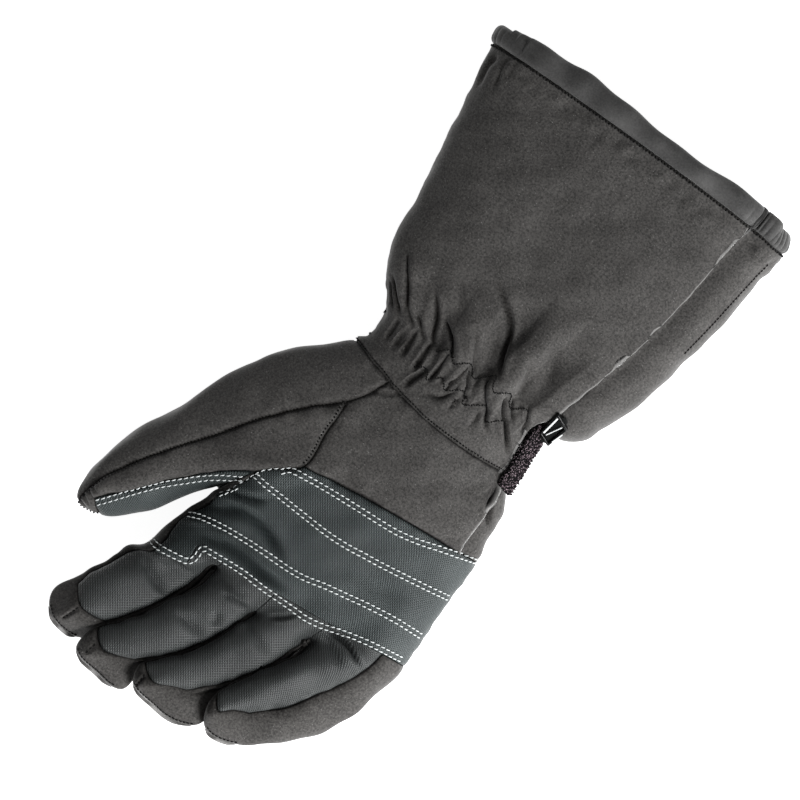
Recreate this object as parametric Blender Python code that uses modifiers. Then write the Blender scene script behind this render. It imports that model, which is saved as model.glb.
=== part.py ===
"""Right-hand winter gauntlet glove, lying on its back with the palm up.

The thumb points to +X, the fingers to +Y and the palm to +Z. The origin is on the surface that the
glove lies on, under the middle of the palm. One coarse cage of quads runs from the mouth of the cuff
to the five tips, with its edges along the real seams. It is smoothed, gathered and laid flat, then cut
along the seams into cloth panels with a wall.
"""

import math

import bmesh
import bpy
from mathutils import Matrix, Vector
from mathutils.bvhtree import BVHTree

# Driving dimensions, in metres
CUFF_LENGTH = 0.163
MOUTH_WIDTH = 0.176
MOUTH_THICKNESS = 0.054
WRIST_WIDTH = 0.103
WRIST_THICKNESS = 0.043
PALM_LENGTH = 0.135
PALM_WIDTH = 0.131
PALM_THICKNESS = 0.045
FINGER_LENGTH = 0.080
FINGER_THICKNESS = 0.030
FINGER_LIFT = 0.008
FINGER_LEAN = 0.007
THUMB_LENGTH = 0.074
THUMB_WIDTH = 0.041
THUMB_THICKNESS = 0.038
THUMB_LIFT = 0.007
SHELL_WALL = 0.0022
SEAM_GAP = 0.0003
HEM_WIDTH = 0.0100
HEM_THICKNESS = 0.0062
GATHER_DEPTH = 0.0034
FOLD_DEPTH = 0.0060
STRAP_THICKNESS = 0.0026
STRAP_LENGTH = 0.029
BUCKLE_LENGTH = 0.0140
BUCKLE_WIDTH = 0.0130
BUCKLE_THICKNESS = 0.0036
BUCKLE_SLOT = 0.0030
FIT_GAP = 0.0004

# Cuff rows from the mouth to the wrist seam.
# down: shares of CUFF_LENGTH at the thumb edge, at the little-finger edge and extra in the middle
# flare: shares of (MOUTH_WIDTH - WRIST_WIDTH) added to half a wrist on each side
# deep: share of the way from WRIST_THICKNESS to MOUTH_THICKNESS; low: underside, share of the wrist's
# seam: share of the half width at which the seam on the little-finger side runs
CUFF_ROWS = [
    # down_thumb, down_little, down_middle, flare_thumb, flare_little, deep, low, seam
    (0.915, 1.085, 0.010, 0.740, 0.245, 1.00, -0.03, 0.780),
    (0.770, 0.910, 0.005, 0.645, 0.272, 1.02, -0.03, 0.763),
    (0.590, 0.680, 0.000, 0.502, 0.300, 0.98, -0.03, 0.749),
    (0.405, 0.475, 0.000, 0.375, 0.300, 0.86, -0.03, 0.720),
    (0.255, 0.330, 0.005, 0.242, 0.230, 0.62, -0.02, 0.711),
    (0.165, 0.240, 0.012, 0.100, 0.120, 0.34, 0.01, 0.766),
    (0.095, 0.175, 0.014, -0.025, -0.030, 0.05, 0.05, 0.880),
    (0.018, 0.105, -0.002, -0.050, -0.020, -0.05, 0.06, 0.905),
    (-0.020, 0.010, -0.044, 0.005, 0.000, 0.00, 0.04, 0.960),
]

# Hand rows from the wrist seam to the finger crotches.
# Each x is a share of PALM_WIDTH and each y of PALM_LENGTH: outer edge on the thumb side, thumb seam,
# border of the palm, edge on the little-finger side; then the bow of the row, the share of the row at
# which the seam on the little-finger side runs, and top and underside as shares of PALM_THICKNESS.
HAND_ROWS = [
    # edge_x, edge_y, seam_x, seam_y, border_x, border_y, little_x, little_y, bow, side, top, low
    (0.514, 0.195, 0.244, 0.215, 0.244, 0.215, -0.478, 0.120, 0.010, 0.90, 0.99, 0.02),
    (0.577, 0.296, 0.353, 0.363, 0.214, 0.356, -0.508, 0.218, 0.000, 0.88, 1.00, -0.03),
    (0.612, 0.400, 0.443, 0.511, 0.183, 0.496, -0.538, 0.300, -0.010, 0.87, 0.98, -0.03),
    (0.654, 0.540, 0.508, 0.652, 0.298, 0.637, -0.565, 0.459, 0.050, 0.90, 0.95, -0.03),
]
REACH_ROWS = [
    # edge_x, edge_y, border_x, border_y, little_x, little_y, bow, side, top, low
    (0.380, 0.925, 0.360, 0.905, -0.595, 0.637, 0.000, 0.88, 0.91, -0.03),
    (0.395, 1.030, 0.370, 1.015, -0.618, 0.762, 0.000, 0.86, 0.86, -0.02),
]
WEB_X = 0.360
WEB_Y = 0.790
WEB_HIGH = 0.48

# The crotch row: x, y, top and underside of its points from the index finger's side to the little's.
CROTCH_ROW = [
    # x, y, top, low
    (0.364, 1.110, 0.76, 0.06),
    (0.245, 1.062, 0.79, 0.02),
    (0.154, 0.994, 0.66, 0.14),
    (0.040, 1.020, 0.81, 0.02),
    (-0.076, 1.006, 0.68, 0.14),
    (-0.186, 0.978, 0.83, 0.02),
    (-0.297, 0.928, 0.70, 0.14),
    (-0.412, 0.900, 0.84, 0.02),
    (-0.530, 0.870, 0.76, 0.06),
]
CROTCH_EDGES = [(0.405, 1.122, 0.40), (-0.626, 0.885, 0.42)]
CROTCH_AHEAD = 0.018

# Fingers: height and fullness of each as shares of FINGER_THICKNESS, its tip, and its rings. Across is a
# share of PALM_WIDTH and along one of FINGER_LENGTH, both from the middle of the finger's root. A ring has
# the front panel's border on the thumb side and on the little-finger side, how far the panel bows ahead
# between them, and how far the two sides stand out past its borders, as shares of FINGER_THICKNESS.
FINGERS = {
    "index": {
        "seat": (-0.05, 0.94),
        "tip": (0.172, 0.847),
        "rings": [
            # thumb_across, thumb_along, little_across, little_along, bow, thumb_out, little_out
            (0.162, 0.179, -0.081, 0.039, 0.000, 0.170, 0.01),
            (0.188, 0.310, -0.060, 0.223, 0.000, 0.140, 0.02),
            (0.214, 0.460, -0.015, 0.423, 0.000, 0.140, 0.03),
            (0.218, 0.573, 0.047, 0.623, 0.069, 0.220, 0.01),
            (0.224, 0.747, 0.115, 0.787, 0.044, 0.300, 0.02),
        ],
    },
    "middle": {
        "seat": (0.02, 0.98),
        "tip": (0.205, 0.988),
        "rings": [
            # thumb_across, thumb_along, little_across, little_along, bow, thumb_out, little_out
            (0.105, 0.155, -0.093, 0.149, 0.000, 0.010, 0.01),
            (0.144, 0.330, -0.070, 0.324, 0.000, 0.020, 0.01),
            (0.186, 0.549, -0.010, 0.534, 0.000, 0.020, 0.02),
            (0.266, 0.755, 0.079, 0.746, 0.086, 0.030, 0.04),
            (0.278, 0.918, 0.146, 0.928, 0.030, 0.080, 0.38),
        ],
    },
    "ring": {
        "seat": (0.06, 1.00),
        "tip": (0.198, 0.930),
        "rings": [
            # thumb_across, thumb_along, little_across, little_along, bow, thumb_out, little_out
            (0.116, 0.166, -0.087, 0.116, 0.000, 0.010, 0.02),
            (0.137, 0.347, -0.050, 0.316, 0.000, 0.010, 0.02),
            (0.188, 0.566, 0.007, 0.528, 0.000, 0.020, 0.06),
            (0.267, 0.760, 0.083, 0.703, 0.078, 0.020, 0.36),
            (0.267, 0.880, 0.133, 0.868, 0.020, 0.020, 0.54),
        ],
    },
    "little": {
        "seat": (0.08, 1.04),
        "tip": (0.138, 0.911),
        "rings": [
            # thumb_across, thumb_along, little_across, little_along, bow, thumb_out, little_out
            (0.103, 0.174, -0.091, 0.136, 0.000, 0.020, 0.46),
            (0.137, 0.349, -0.045, 0.302, 0.000, 0.020, 0.56),
            (0.181, 0.530, 0.002, 0.480, 0.000, 0.020, 0.50),
            (0.215, 0.699, 0.077, 0.649, 0.097, 0.030, 0.56),
            (0.203, 0.824, 0.096, 0.811, 0.031, 0.030, 0.30),
        ],
    },
}
# Thickness of each ring, and how much of FINGER_LIFT and FINGER_LEAN it has. The fourth ring ends the front
# panel and the last carries the tip.
FINGER_RINGS = [
    # thick, lift, lean
    (1.00, 0.04, 0.55),
    (0.98, 0.16, 1.00),
    (0.94, 0.38, 1.00),
    (0.84, 0.66, 0.95),
    (0.56, 0.92, 0.75),
]
FRONT_END_RING = 3
FRONT_EDGE = 0.62
BACK_EDGE = 0.80
FINGER_FLOOR = 0.40

# Rings of the thumb: distance as a share of its length, width, thickness, share of THUMB_LIFT, slant of
# the ring in degrees, and where the seam and the grip panel's edge run across the width.
THUMB_TURN = 20.0
THUMB_OUTER = 0.08
THUMB_RINGS = [
    # along, wide, thick, lift, slant, seam, grip
    (0.20, 1.04, 1.00, 0.10, -17.0, 0.42, 0.80),
    (0.48, 1.00, 0.90, 0.35, -15.0, 0.37, 0.71),
    (0.73, 0.76, 0.74, 0.65, -10.0, 0.31, 0.66),
    (0.885, 0.50, 0.52, 0.88, -8.0, 0.30, 0.62),
]

# Long folds that rise from the gathered wrist into the cuff: where round the cuff, in cage columns, and
# between which rows; deep: share of FOLD_DEPTH, below 0 for a valley.
FOLDS = [
    # column, half_width, start_row, end_row, deep
    (0.4, 0.8, 6.4, 3.6, 0.50),
    (2.1, 0.7, 6.4, 4.2, -0.60),
    (3.6, 0.8, 6.6, 3.4, 0.70),
    (4.9, 0.8, 6.6, 3.0, -0.75),
    (6.2, 0.8, 6.6, 2.6, 1.00),
    (7.4, 0.8, 6.6, 3.0, -0.80),
    (8.6, 0.7, 6.6, 4.0, 0.50),
    (12.6, 0.9, 6.4, 3.6, 0.60),
    (15.0, 0.9, 6.4, 3.2, -0.60),
    (17.5, 0.9, 6.4, 3.2, 0.60),
    (20.0, 0.9, 6.4, 3.6, -0.60),
]
FOLD_FULLNESS = 0.7
# The puckers rise between the first two of these rows and fade between the last two, and they fade
# over this many columns on either side of the little-finger edge, where the strap lies.
GATHER_ROWS = (3.9, 5.5, 7.3, 8.0)
GATHER_FADE = 2.5

# The cage: quads round the cuff, points across the palm, and the rows where its parts meet
RING = 24
PALM_COLUMNS = 11
LITTLE_PLACE = 11
WRIST_ROW = 8
JOIN_ROW = 9
FORK_ROW = 12
DIP_ROW = 14
CROTCH = 15
CUFF_EDGE = 0.93
CUFF_BORDER = 0.47
CUFF_SIDE = 0.70
THUMB_FIRST = 0.16
PALM_CROWN = 2.6
BACK_CROWN = 3.4
THUMB_CROWN = 2.3
SMOOTHING = 1
FIT_ROUNDS = 12
FIT_STEP = 0.9
MITRE_LIMIT = 0.35
# The tables count from the middle of the wrist seam. The origin lies this far towards the fingers.
PALM_CENTRE = PALM_LENGTH * 0.48
HEM_SIDES = 8
HEM_SQUARENESS = 0.6

# The wrist strap starts past the wrist seam by a share of its length and runs straight to the buckle. At
# each end its two edges have a place: x as a share of half the wrist's width, z one of WRIST_THICKNESS.
STRAP_START = 0.10
STRAP_ENDS = [
    # lower_x, lower_z, upper_x, upper_z
    (-1.140, 0.56, -0.998, 0.79),
    (-1.010, 0.66, -0.866, 0.88),
]
# The buckle's middle is at a share of half the wrist's width and one of WRIST_THICKNESS, moved out to the
# cloth. It leans back by its tilt in degrees. Its two slots lie at shares of its length and are
# SLOT_SPAN of its width across.
STRAP_STEPS = 12
STRAP_BANDS = 3
STRAP_EDGE = 0.25
BUCKLE_ACROSS = 0.84
BUCKLE_HEIGHT = 0.80
BUCKLE_TILT = 42.0
BUCKLE_TAPER = 0.84
BUCKLE_EDGE = 0.22
SLOT_SHARES = (-0.26, 0.22)
SLOT_SPAN = 0.62

SOFTSHELL = (0.047, 0.044, 0.042)
WOVEN = (0.052, 0.066, 0.070)
HEM_CLOTH = (0.052, 0.048, 0.046)
KNIT = (0.022, 0.018, 0.020)
PLASTIC = (0.010, 0.010, 0.011)

PANELS = {
    "gauntlet_palm_panel": SOFTSHELL,
    "gauntlet_back_panel": SOFTSHELL,
    "heel_panel": SOFTSHELL,
    "palm_patch": WOVEN,
    "hand_back_panel": SOFTSHELL,
    "thumb_outer_panel": SOFTSHELL,
    "thumb_front_panel": SOFTSHELL,
    "thumb_grip_panel": WOVEN,
}
for finger in FINGERS:
    PANELS[finger + "_front_panel"] = WOVEN
    PANELS[finger + "_side_panel"] = SOFTSHELL
    PANELS[finger + "_back_panel"] = SOFTSHELL
PANEL_NAMES = list(PANELS)


def material(name, colour, roughness):
    """A plain Principled material."""
    made = bpy.data.materials.new(name)
    made.use_nodes = True
    shader = made.node_tree.nodes["Principled BSDF"]
    shader.inputs["Base Color"].default_value = (*colour, 1.0)
    shader.inputs["Roughness"].default_value = roughness
    return made


def crown(share, power):
    """Height of a rounded section at a share of its half width, from 1 in the middle to 0 at the edge."""
    return (1 - min(abs(share), 1.0) ** power) ** (1 / power)


def section(points, edge, little, top, low):
    """Raise plan points to the palm side and lower their twins to the back of one section."""
    middle = (edge + little) / 2
    half = (edge - little) / 2
    centre = (top + low) / 2
    palm = []
    back = []
    for point in points:
        share = (point - middle).dot(half) / half.length_squared
        palm.append(Vector((point.x, point.y, centre + (top - centre) * crown(share, PALM_CROWN))))
        back.append(Vector((point.x, point.y, centre - (centre - low) * crown(share, BACK_CROWN))))
    side_little = Vector((little.x, little.y, centre))
    side_thumb = Vector((edge.x, edge.y, centre))
    return palm, back, side_little, side_thumb


def spread(start, end, steps, bow):
    """Plan points from start to end in even steps, with a bow along +Y."""
    points = []
    for step in range(steps + 1):
        share = step / steps
        point = start.lerp(end, share)
        point.y += bow * 4 * share * (1 - share)
        points.append(point)
    return points


def cuff_rows():
    """The ring of each cuff row."""
    rows = []
    for down_thumb, down_little, middle, flare_thumb, flare_little, deep, low, seam in CUFF_ROWS:
        grow = MOUTH_WIDTH - WRIST_WIDTH
        edge = Vector((WRIST_WIDTH / 2 + grow * flare_thumb, -CUFF_LENGTH * down_thumb))
        little = Vector((-WRIST_WIDTH / 2 - grow * flare_little, -CUFF_LENGTH * down_little))
        thickness = WRIST_THICKNESS + (MOUTH_THICKNESS - WRIST_THICKNESS) * deep
        floor = WRIST_THICKNESS * low
        centre = (edge + little) / 2
        half = (edge - little) / 2
        shares = [CUFF_EDGE, (CUFF_EDGE + CUFF_BORDER) / 2]
        shares += [CUFF_BORDER - (seam + CUFF_BORDER) * step / 7 for step in range(8)]
        shares.append(-seam - (1 - seam) * CUFF_SIDE)
        points = []
        for share in shares:
            point = centre + half * share
            point.y -= CUFF_LENGTH * middle * (1 - share * share)
            points.append(point)
        rows.append(section(points, edge, little, floor + thickness, floor))
    return rows


def hand_rows():
    """The ring of each hand row between the wrist seam and the fork of the thumb."""
    rows = []
    size = Vector((PALM_WIDTH, PALM_LENGTH))
    for row in HAND_ROWS:
        edge = Vector(row[0:2]) * size
        seam = Vector(row[2:4]) * size
        border = Vector(row[4:6]) * size
        little = Vector(row[6:8]) * size
        bow, side, top, low = row[8:]
        first = edge.lerp(seam, THUMB_FIRST)
        last = border.lerp(little, (border.x - little.x * side) / (border.x - little.x))
        points = [first, seam] + spread(border, last, 8, bow * PALM_LENGTH)
        rows.append(section(points, edge, little, PALM_THICKNESS * top, PALM_THICKNESS * low))
    return rows


def reach_rows():
    """The ring of each hand row past the fork of the thumb."""
    rows = []
    size = Vector((PALM_WIDTH, PALM_LENGTH))
    for row in REACH_ROWS:
        edge = Vector(row[0:2]) * size
        border = Vector(row[2:4]) * size
        little = Vector(row[4:6]) * size
        bow, side, top, low = row[6:]
        last = border.lerp(little, (border.x - little.x * side) / (border.x - little.x))
        points = spread(border, last, 8, bow * PALM_LENGTH)
        rows.append(section(points, edge, little, PALM_THICKNESS * top, PALM_THICKNESS * low))
    return rows


class Cage:
    """Named points and the quads between them, each with its panel."""

    def __init__(self):
        self.points = []
        self.index = {}
        self.faces = []
        self.panels = []
        self.around = []
        self.along = []

    def add(self, key, point, around=0.0, along=99.0):
        self.index[key] = len(self.points)
        self.points.append(Vector(point))
        self.around.append(around)
        self.along.append(along)

    def quad(self, keys, panel):
        corners = list(dict.fromkeys(self.index[key] for key in keys))
        if len(corners) > 2:
            self.faces.append(corners)
            self.panels.append(PANEL_NAMES.index(panel))


def ring_keys(row, columns):
    """Keys of a row's ring: palm points, little-finger side, back points, thumb side."""
    palm = [(row, "palm", column) for column in columns]
    back = [(row, "back", column) for column in reversed(columns)]
    return palm + [(row, "little", 0)] + back + [(row, "thumb", 0)]


def add_ring(cage, row, columns, ring):
    palm, back, side_little, side_thumb = ring
    for place, column in enumerate(columns):
        if row == JOIN_ROW and column == 1:
            continue
        cage.add((row, "palm", column), palm[place], column, row)
        cage.add((row, "back", column), back[place], 2 * LITTLE_PLACE - column, row)
    if row == JOIN_ROW:
        for layer in ("palm", "back"):
            cage.index[(row, layer, 1)] = cage.index[(row, layer, 2)]
    cage.add((row, "little", 0), side_little, LITTLE_PLACE, row)
    cage.add((row, "thumb", 0), side_thumb, RING - 1, row)


def hand_panel(band, place):
    """Panel of the face at a place round the band that starts at a row, before the fork."""
    if band < WRIST_ROW:
        return "gauntlet_palm_panel" if place < 9 or place == RING - 1 else "gauntlet_back_panel"
    if place == 0 or place >= 21:
        return "thumb_outer_panel"
    if place == 1:
        return "thumb_outer_panel" if band == WRIST_ROW else "thumb_front_panel"
    if place <= 9:
        return "palm_patch" if band == FORK_ROW - 1 else "heel_panel"
    if place == 10 and band == FORK_ROW - 1:
        return "palm_patch"
    return "hand_back_panel"


def reach_panel(band, place):
    """Panel of the face at a place round the band that starts at a row, past the fork."""
    names = list(FINGERS)
    if place >= 18:
        return "index_side_panel"
    if place < 8:
        if band < DIP_ROW or place == 0:
            return "palm_patch"
        return names[place // 2] + "_front_panel"
    if place in (8, 9) and band == DIP_ROW:
        return "little_side_panel"
    if place == 8:
        return "palm_patch"
    return "hand_back_panel"


def build_hand(cage):
    """The cuff, the palm and the crotch row."""
    all_columns = list(range(PALM_COLUMNS))
    columns = all_columns[2:]
    for row, ring in enumerate(cuff_rows() + hand_rows()):
        add_ring(cage, row, all_columns, ring)
    for band in range(FORK_ROW):
        lower = ring_keys(band, all_columns)
        upper = ring_keys(band + 1, all_columns)
        for place in range(RING):
            after = (place + 1) % RING
            cage.quad([lower[after], lower[place], upper[place], upper[after]], hand_panel(band, place))

    fork = HAND_ROWS[-1]
    high = PALM_THICKNESS * (fork[10] + (fork[11] - fork[10]) * (1 - WEB_HIGH))
    cage.add("web", (PALM_WIDTH * WEB_X, PALM_LENGTH * WEB_Y, high), 0, FORK_ROW)
    for step, ring in enumerate(reach_rows()):
        add_ring(cage, FORK_ROW + 1 + step, columns, ring)
    for place, (x, y, top, low) in enumerate(CROTCH_ROW):
        column = columns[place]
        plan = (PALM_WIDTH * x, PALM_LENGTH * y)
        cage.add((CROTCH, "palm", column), (*plan, PALM_THICKNESS * top), 0, CROTCH)
        cage.add((CROTCH, "back", column), (*plan, PALM_THICKNESS * low), 0, CROTCH)
        if place in (2, 4, 6):
            ahead = (plan[0], plan[1] + PALM_LENGTH * CROTCH_AHEAD, PALM_THICKNESS * (top + low) / 2)
            cage.add((CROTCH, "web", column), ahead, 0, CROTCH)
    for side, (x, y, high) in zip(("thumb", "little"), CROTCH_EDGES):
        cage.add((CROTCH, side, 0), (PALM_WIDTH * x, PALM_LENGTH * y, PALM_THICKNESS * high), 0, CROTCH)

    count = 2 * len(columns) + 2
    for band in range(FORK_ROW, CROTCH):
        lower = ring_keys(band, columns)
        upper = ring_keys(band + 1, columns)
        if band == FORK_ROW:
            lower[-1] = "web"
        for place in range(count):
            after = (place + 1) % count
            cage.quad([lower[after], lower[place], upper[place], upper[after]], reach_panel(band, place))


def tube(cage, name, base, rings, panels, tip, tip_panels):
    """A tube of eight-sided rings from a base ring of keys to a closed tip."""
    lower = base
    for step, points in enumerate(rings):
        upper = [(name, step, place) for place in range(8)]
        for key, point in zip(upper, points):
            cage.add(key, point)
        for place in range(8):
            after = (place + 1) % 8
            cage.quad([lower[after], lower[place], upper[place], upper[after]], panels(step, place))
        lower = upper
    cage.add((name, "tip"), tip)
    middle = (name, "tip")
    cage.quad([lower[1], lower[0], lower[7], middle], tip_panels[0])
    cage.quad([lower[2], lower[1], middle, lower[3]], tip_panels[1])
    cage.quad([lower[5], lower[4], lower[3], middle], tip_panels[2])
    cage.quad([lower[6], lower[5], middle, lower[7]], tip_panels[3])


def build_thumb(cage):
    """The thumb's rings, from the fork row."""
    base = [(FORK_ROW, "palm", column) for column in range(3)] + ["web"]
    base += [(FORK_ROW, "back", column) for column in (2, 1, 0)] + [(FORK_ROW, "thumb", 0)]
    edge = cage.points[cage.index[base[7]]]
    web = cage.points[cage.index["web"]]
    root = (edge + web) / 2
    turn = math.radians(THUMB_TURN)
    rings = []
    for along, wide, thick, lift, slant, seam, grip in THUMB_RINGS:
        centre = root + Vector((math.sin(turn), math.cos(turn), 0)) * THUMB_LENGTH * along
        centre.z = root.z + THUMB_LIFT * lift
        angle = math.pi - turn + math.radians(slant)
        inward = Vector((math.cos(angle), math.sin(angle), 0)) * THUMB_WIDTH * wide
        up = Vector((0, 0, THUMB_THICKNESS * thick / 2))
        points = []
        for share in (THUMB_OUTER, seam, grip):
            points.append(centre + inward * (share - 0.5) + up * crown(2 * share - 1, THUMB_CROWN))
        points.append(centre + inward / 2)
        for share in (grip, 0.5, THUMB_OUTER):
            points.append(centre + inward * (share - 0.5) - up * crown(2 * share - 1, THUMB_CROWN))
        points.append(centre - inward / 2)
        rings.append(points)
    tip = root + Vector((math.sin(turn), math.cos(turn), 0)) * THUMB_LENGTH
    tip.z = root.z + THUMB_LIFT

    def panels(step, place):
        if place in (2, 3):
            return "thumb_grip_panel"
        return "thumb_front_panel" if place == 1 else "thumb_outer_panel"

    outer = "thumb_outer_panel"
    tube(cage, "thumb", base, rings, panels, tip, [outer, "thumb_front_panel", outer, outer])


def build_finger(cage, name, place):
    """One finger's rings, from its share of the crotch row."""
    table = FINGERS[name]
    height, full = table["seat"]
    first = 2 + 2 * place
    columns = (first, first + 1, first + 2)
    thumb_side = (CROTCH, "thumb", 0) if place == 0 else (CROTCH, "web", first)
    little_side = (CROTCH, "little", 0) if place == 3 else (CROTCH, "web", first + 2)
    base = [(CROTCH, "palm", column) for column in columns] + [little_side]
    base += [(CROTCH, "back", column) for column in reversed(columns)] + [thumb_side]
    root = sum((cage.points[cage.index[key]].xy for key in base[:3]), Vector((0, 0))) / 3
    scale = Vector((PALM_WIDTH, FINGER_LENGTH))
    floor = PALM_THICKNESS * FINGER_FLOOR + FINGER_THICKNESS * height
    rings = []
    for ring, (thick, lift, lean) in zip(table["rings"], FINGER_RINGS):
        thumb = root + Vector(ring[0:2]) * scale
        little = root + Vector(ring[2:4]) * scale
        bow, thumb_out, little_out = ring[4:]
        middle = (thumb + little) / 2
        across = (thumb - little).normalized()
        spots = [
            (thumb, FRONT_EDGE),
            (middle + Vector((0, FINGER_LENGTH * bow)), 1.0),
            (little, FRONT_EDGE),
            (little - across * FINGER_THICKNESS * little_out, 0.0),
            (little, -BACK_EDGE),
            (middle, -1.0),
            (thumb, -BACK_EDGE),
            (thumb + across * FINGER_THICKNESS * thumb_out, 0.0),
        ]
        points = []
        for plan, level in spots:
            plan = plan + across * FINGER_LEAN * lean * (level - FRONT_EDGE)
            high = floor + FINGER_LIFT * lift + FINGER_THICKNESS * full * thick / 2 * level
            points.append(Vector((plan.x, plan.y, high)))
        rings.append(points)
    tip = root + Vector(table["tip"]) * scale
    tip = Vector((tip.x, tip.y, floor + FINGER_LIFT))

    def panels(step, spot):
        if spot in (4, 5):
            return name + "_back_panel"
        if spot in (0, 1) and step <= FRONT_END_RING:
            return name + "_front_panel"
        return name + "_side_panel"

    tube(cage, name, base, rings, panels, tip, [name + "_side_panel"] * 4)


def limit_points(cage, faces_at, ends_at, rims_at):
    """Where the smooth surface of the cage puts each of its points, by the rule of Catmull and Clark."""
    points = cage.points
    middles = [sum((points[corner] for corner in face), Vector()) / len(face) for face in cage.faces]
    limits = []
    for here, point in enumerate(points):
        if rims_at[here]:
            limits.append((point * 4 + sum((points[other] for other in rims_at[here]), Vector())) / 6)
            continue
        size = len(ends_at[here])
        around = sum((middles[face] for face in faces_at[here]), Vector()) / size
        halves = Vector()
        thirds = Vector()
        for other, pair in ends_at[here].items():
            halves += (point + points[other]) / 2
            thirds += (point + points[other] + middles[pair[0]] + middles[pair[1]]) / 4
        moved = (around + halves * 2 / size + point * (size - 3)) / size
        limits.append((moved * size * size + thirds * 4 + around * size) / (size * (size + 5)))
    return limits


def fit_to_limit(cage):
    """Push the cage out until its smooth surface runs through the points of the tables."""
    count = len(cage.points)
    ends_at = [{} for _ in range(count)]
    faces_at = [[] for _ in range(count)]
    for number, face in enumerate(cage.faces):
        for spot, here in enumerate(face):
            faces_at[here].append(number)
            for other in (face[spot - 1], face[(spot + 1) % len(face)]):
                ends_at[here].setdefault(other, []).append(number)
    rims_at = [[other for other, pair in ends.items() if len(pair) == 1] for ends in ends_at]
    wanted = [point.copy() for point in cage.points]
    for _ in range(FIT_ROUNDS):
        limits = limit_points(cage, faces_at, ends_at, rims_at)
        for here in range(count):
            cage.points[here] += (wanted[here] - limits[here]) * FIT_STEP


def smooth_shell(cage):
    """The cage as a mesh, smoothed, with each point's place round and along the cuff kept."""
    mesh = bpy.data.meshes.new("glove_cage")
    mesh.from_pydata([tuple(point) for point in cage.points], [], cage.faces)
    turn = [2 * math.pi * place / RING for place in cage.around]
    for name, values in (
        ("around_cos", [math.cos(angle) for angle in turn]),
        ("around_sin", [math.sin(angle) for angle in turn]),
        ("along", cage.along),
    ):
        mesh.attributes.new(name, "FLOAT", "POINT").data.foreach_set("value", values)
    mesh.polygons.foreach_set("material_index", cage.panels)
    for name in PANEL_NAMES:
        mesh.materials.append(bpy.data.materials.get(name))
    guide = bpy.data.objects.new("glove_cage", mesh)
    guide.hide_render = True
    guide.display_type = "WIRE"
    guides.objects.link(guide)
    smooth = guide.modifiers.new("smooth", "SUBSURF")
    smooth.levels = SMOOTHING
    smooth.render_levels = SMOOTHING
    bpy.context.view_layer.update()
    graph = bpy.context.evaluated_depsgraph_get()
    made = bpy.data.meshes.new_from_object(guide.evaluated_get(graph))
    shell = bmesh.new()
    shell.from_mesh(made)
    bpy.data.meshes.remove(made)
    guide.modifiers.remove(smooth)
    return shell


def window(value, low, rise, fall, high):
    """0 outside low to high, 1 between rise and fall, and straight in between."""
    if value <= low or value >= high:
        return 0.0
    return min(1.0, (value - low) / (rise - low), (high - value) / (high - fall))


def gather(shell):
    """Pucker the wrist, raise the long folds above it, and lay the underside flat."""
    layers = shell.verts.layers.float
    cos_layer = layers["around_cos"]
    sin_layer = layers["around_sin"]
    along_layer = layers["along"]
    shell.normal_update()
    moves = []
    for vert in shell.verts:
        along = vert[along_layer]
        place = math.atan2(vert[sin_layer], vert[cos_layer]) * RING / (2 * math.pi) % RING
        push = GATHER_DEPTH / 2 * math.cos(2 * math.pi * place) * window(along, *GATHER_ROWS)
        push *= min(1.0, abs(place - LITTLE_PLACE) / GATHER_FADE)
        for column, half_width, start, end, deep in FOLDS:
            apart = (place - column + RING / 2) % RING - RING / 2
            if abs(apart) < half_width and end < along < start:
                rise = math.sin(math.pi * (start - along) / (start - end)) ** FOLD_FULLNESS
                push += FOLD_DEPTH * deep * rise * (1 - (apart / half_width) ** 2)
        moves.append(vert.normal * push)
    for vert, move in zip(shell.verts, moves):
        vert.co += move
        vert.co.z = max(vert.co.z, 0.0)
    shell.normal_update()
    shell.verts.index_update()


def seam_inset(vert, faces):
    """Move that takes a border point half a seam gap into its own panel."""
    sides = []
    for edge in vert.link_edges:
        uses = [face for face in edge.link_faces if face in faces]
        if len(uses) != 1 or edge.is_boundary:
            continue
        along = edge.verts[1].co - edge.verts[0].co
        side = uses[0].normal.cross(along).normalized()
        if side.dot(uses[0].calc_center_median() - edge.verts[0].co) < 0:
            side = -side
        sides.append(side)
    if not sides:
        return Vector()
    if len(sides) == 1:
        return sides[0] * SEAM_GAP / 2
    total = sides[0] + sides[1]
    return total * (SEAM_GAP / 2) / max(1 + sides[0].dot(sides[1]), MITRE_LIMIT)


def panel_object(shell, number, name):
    """One panel of the shell with its wall and closed rims."""
    faces = [face for face in shell.faces if face.material_index == number]
    own = set(faces)
    bm = bmesh.new()
    outer = {}
    inner = {}
    for face in faces:
        for vert in face.verts:
            if vert in outer:
                continue
            place = vert.co + seam_inset(vert, own)
            outer[vert] = bm.verts.new(place)
            inner[vert] = bm.verts.new(place - vert.normal * SHELL_WALL)
    for face in faces:
        bm.faces.new([outer[vert] for vert in face.verts])
        bm.faces.new([inner[vert] for vert in reversed(face.verts)])
        for loop in face.loops:
            beside = [other for other in loop.edge.link_faces if other in own]
            if len(beside) == 1:
                first = loop.vert
                second = loop.link_loop_next.vert
                corners = [outer[second], outer[first], inner[first], inner[second]]
                # Both panels at a seam split the rim along the same diagonal, so a twisted rim stays clear.
                if first.index < second.index:
                    corners = corners[1:] + corners[:1]
                bm.faces.new(corners[:3])
                bm.faces.new([corners[0], corners[2], corners[3]])
    mesh = bpy.data.meshes.new(name)
    bm.to_mesh(mesh)
    bm.free()
    mesh.materials.append(bpy.data.materials[name])
    mesh.shade_smooth()
    made = bpy.data.objects.new(name, mesh)
    parts.objects.link(made)
    return made


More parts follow.
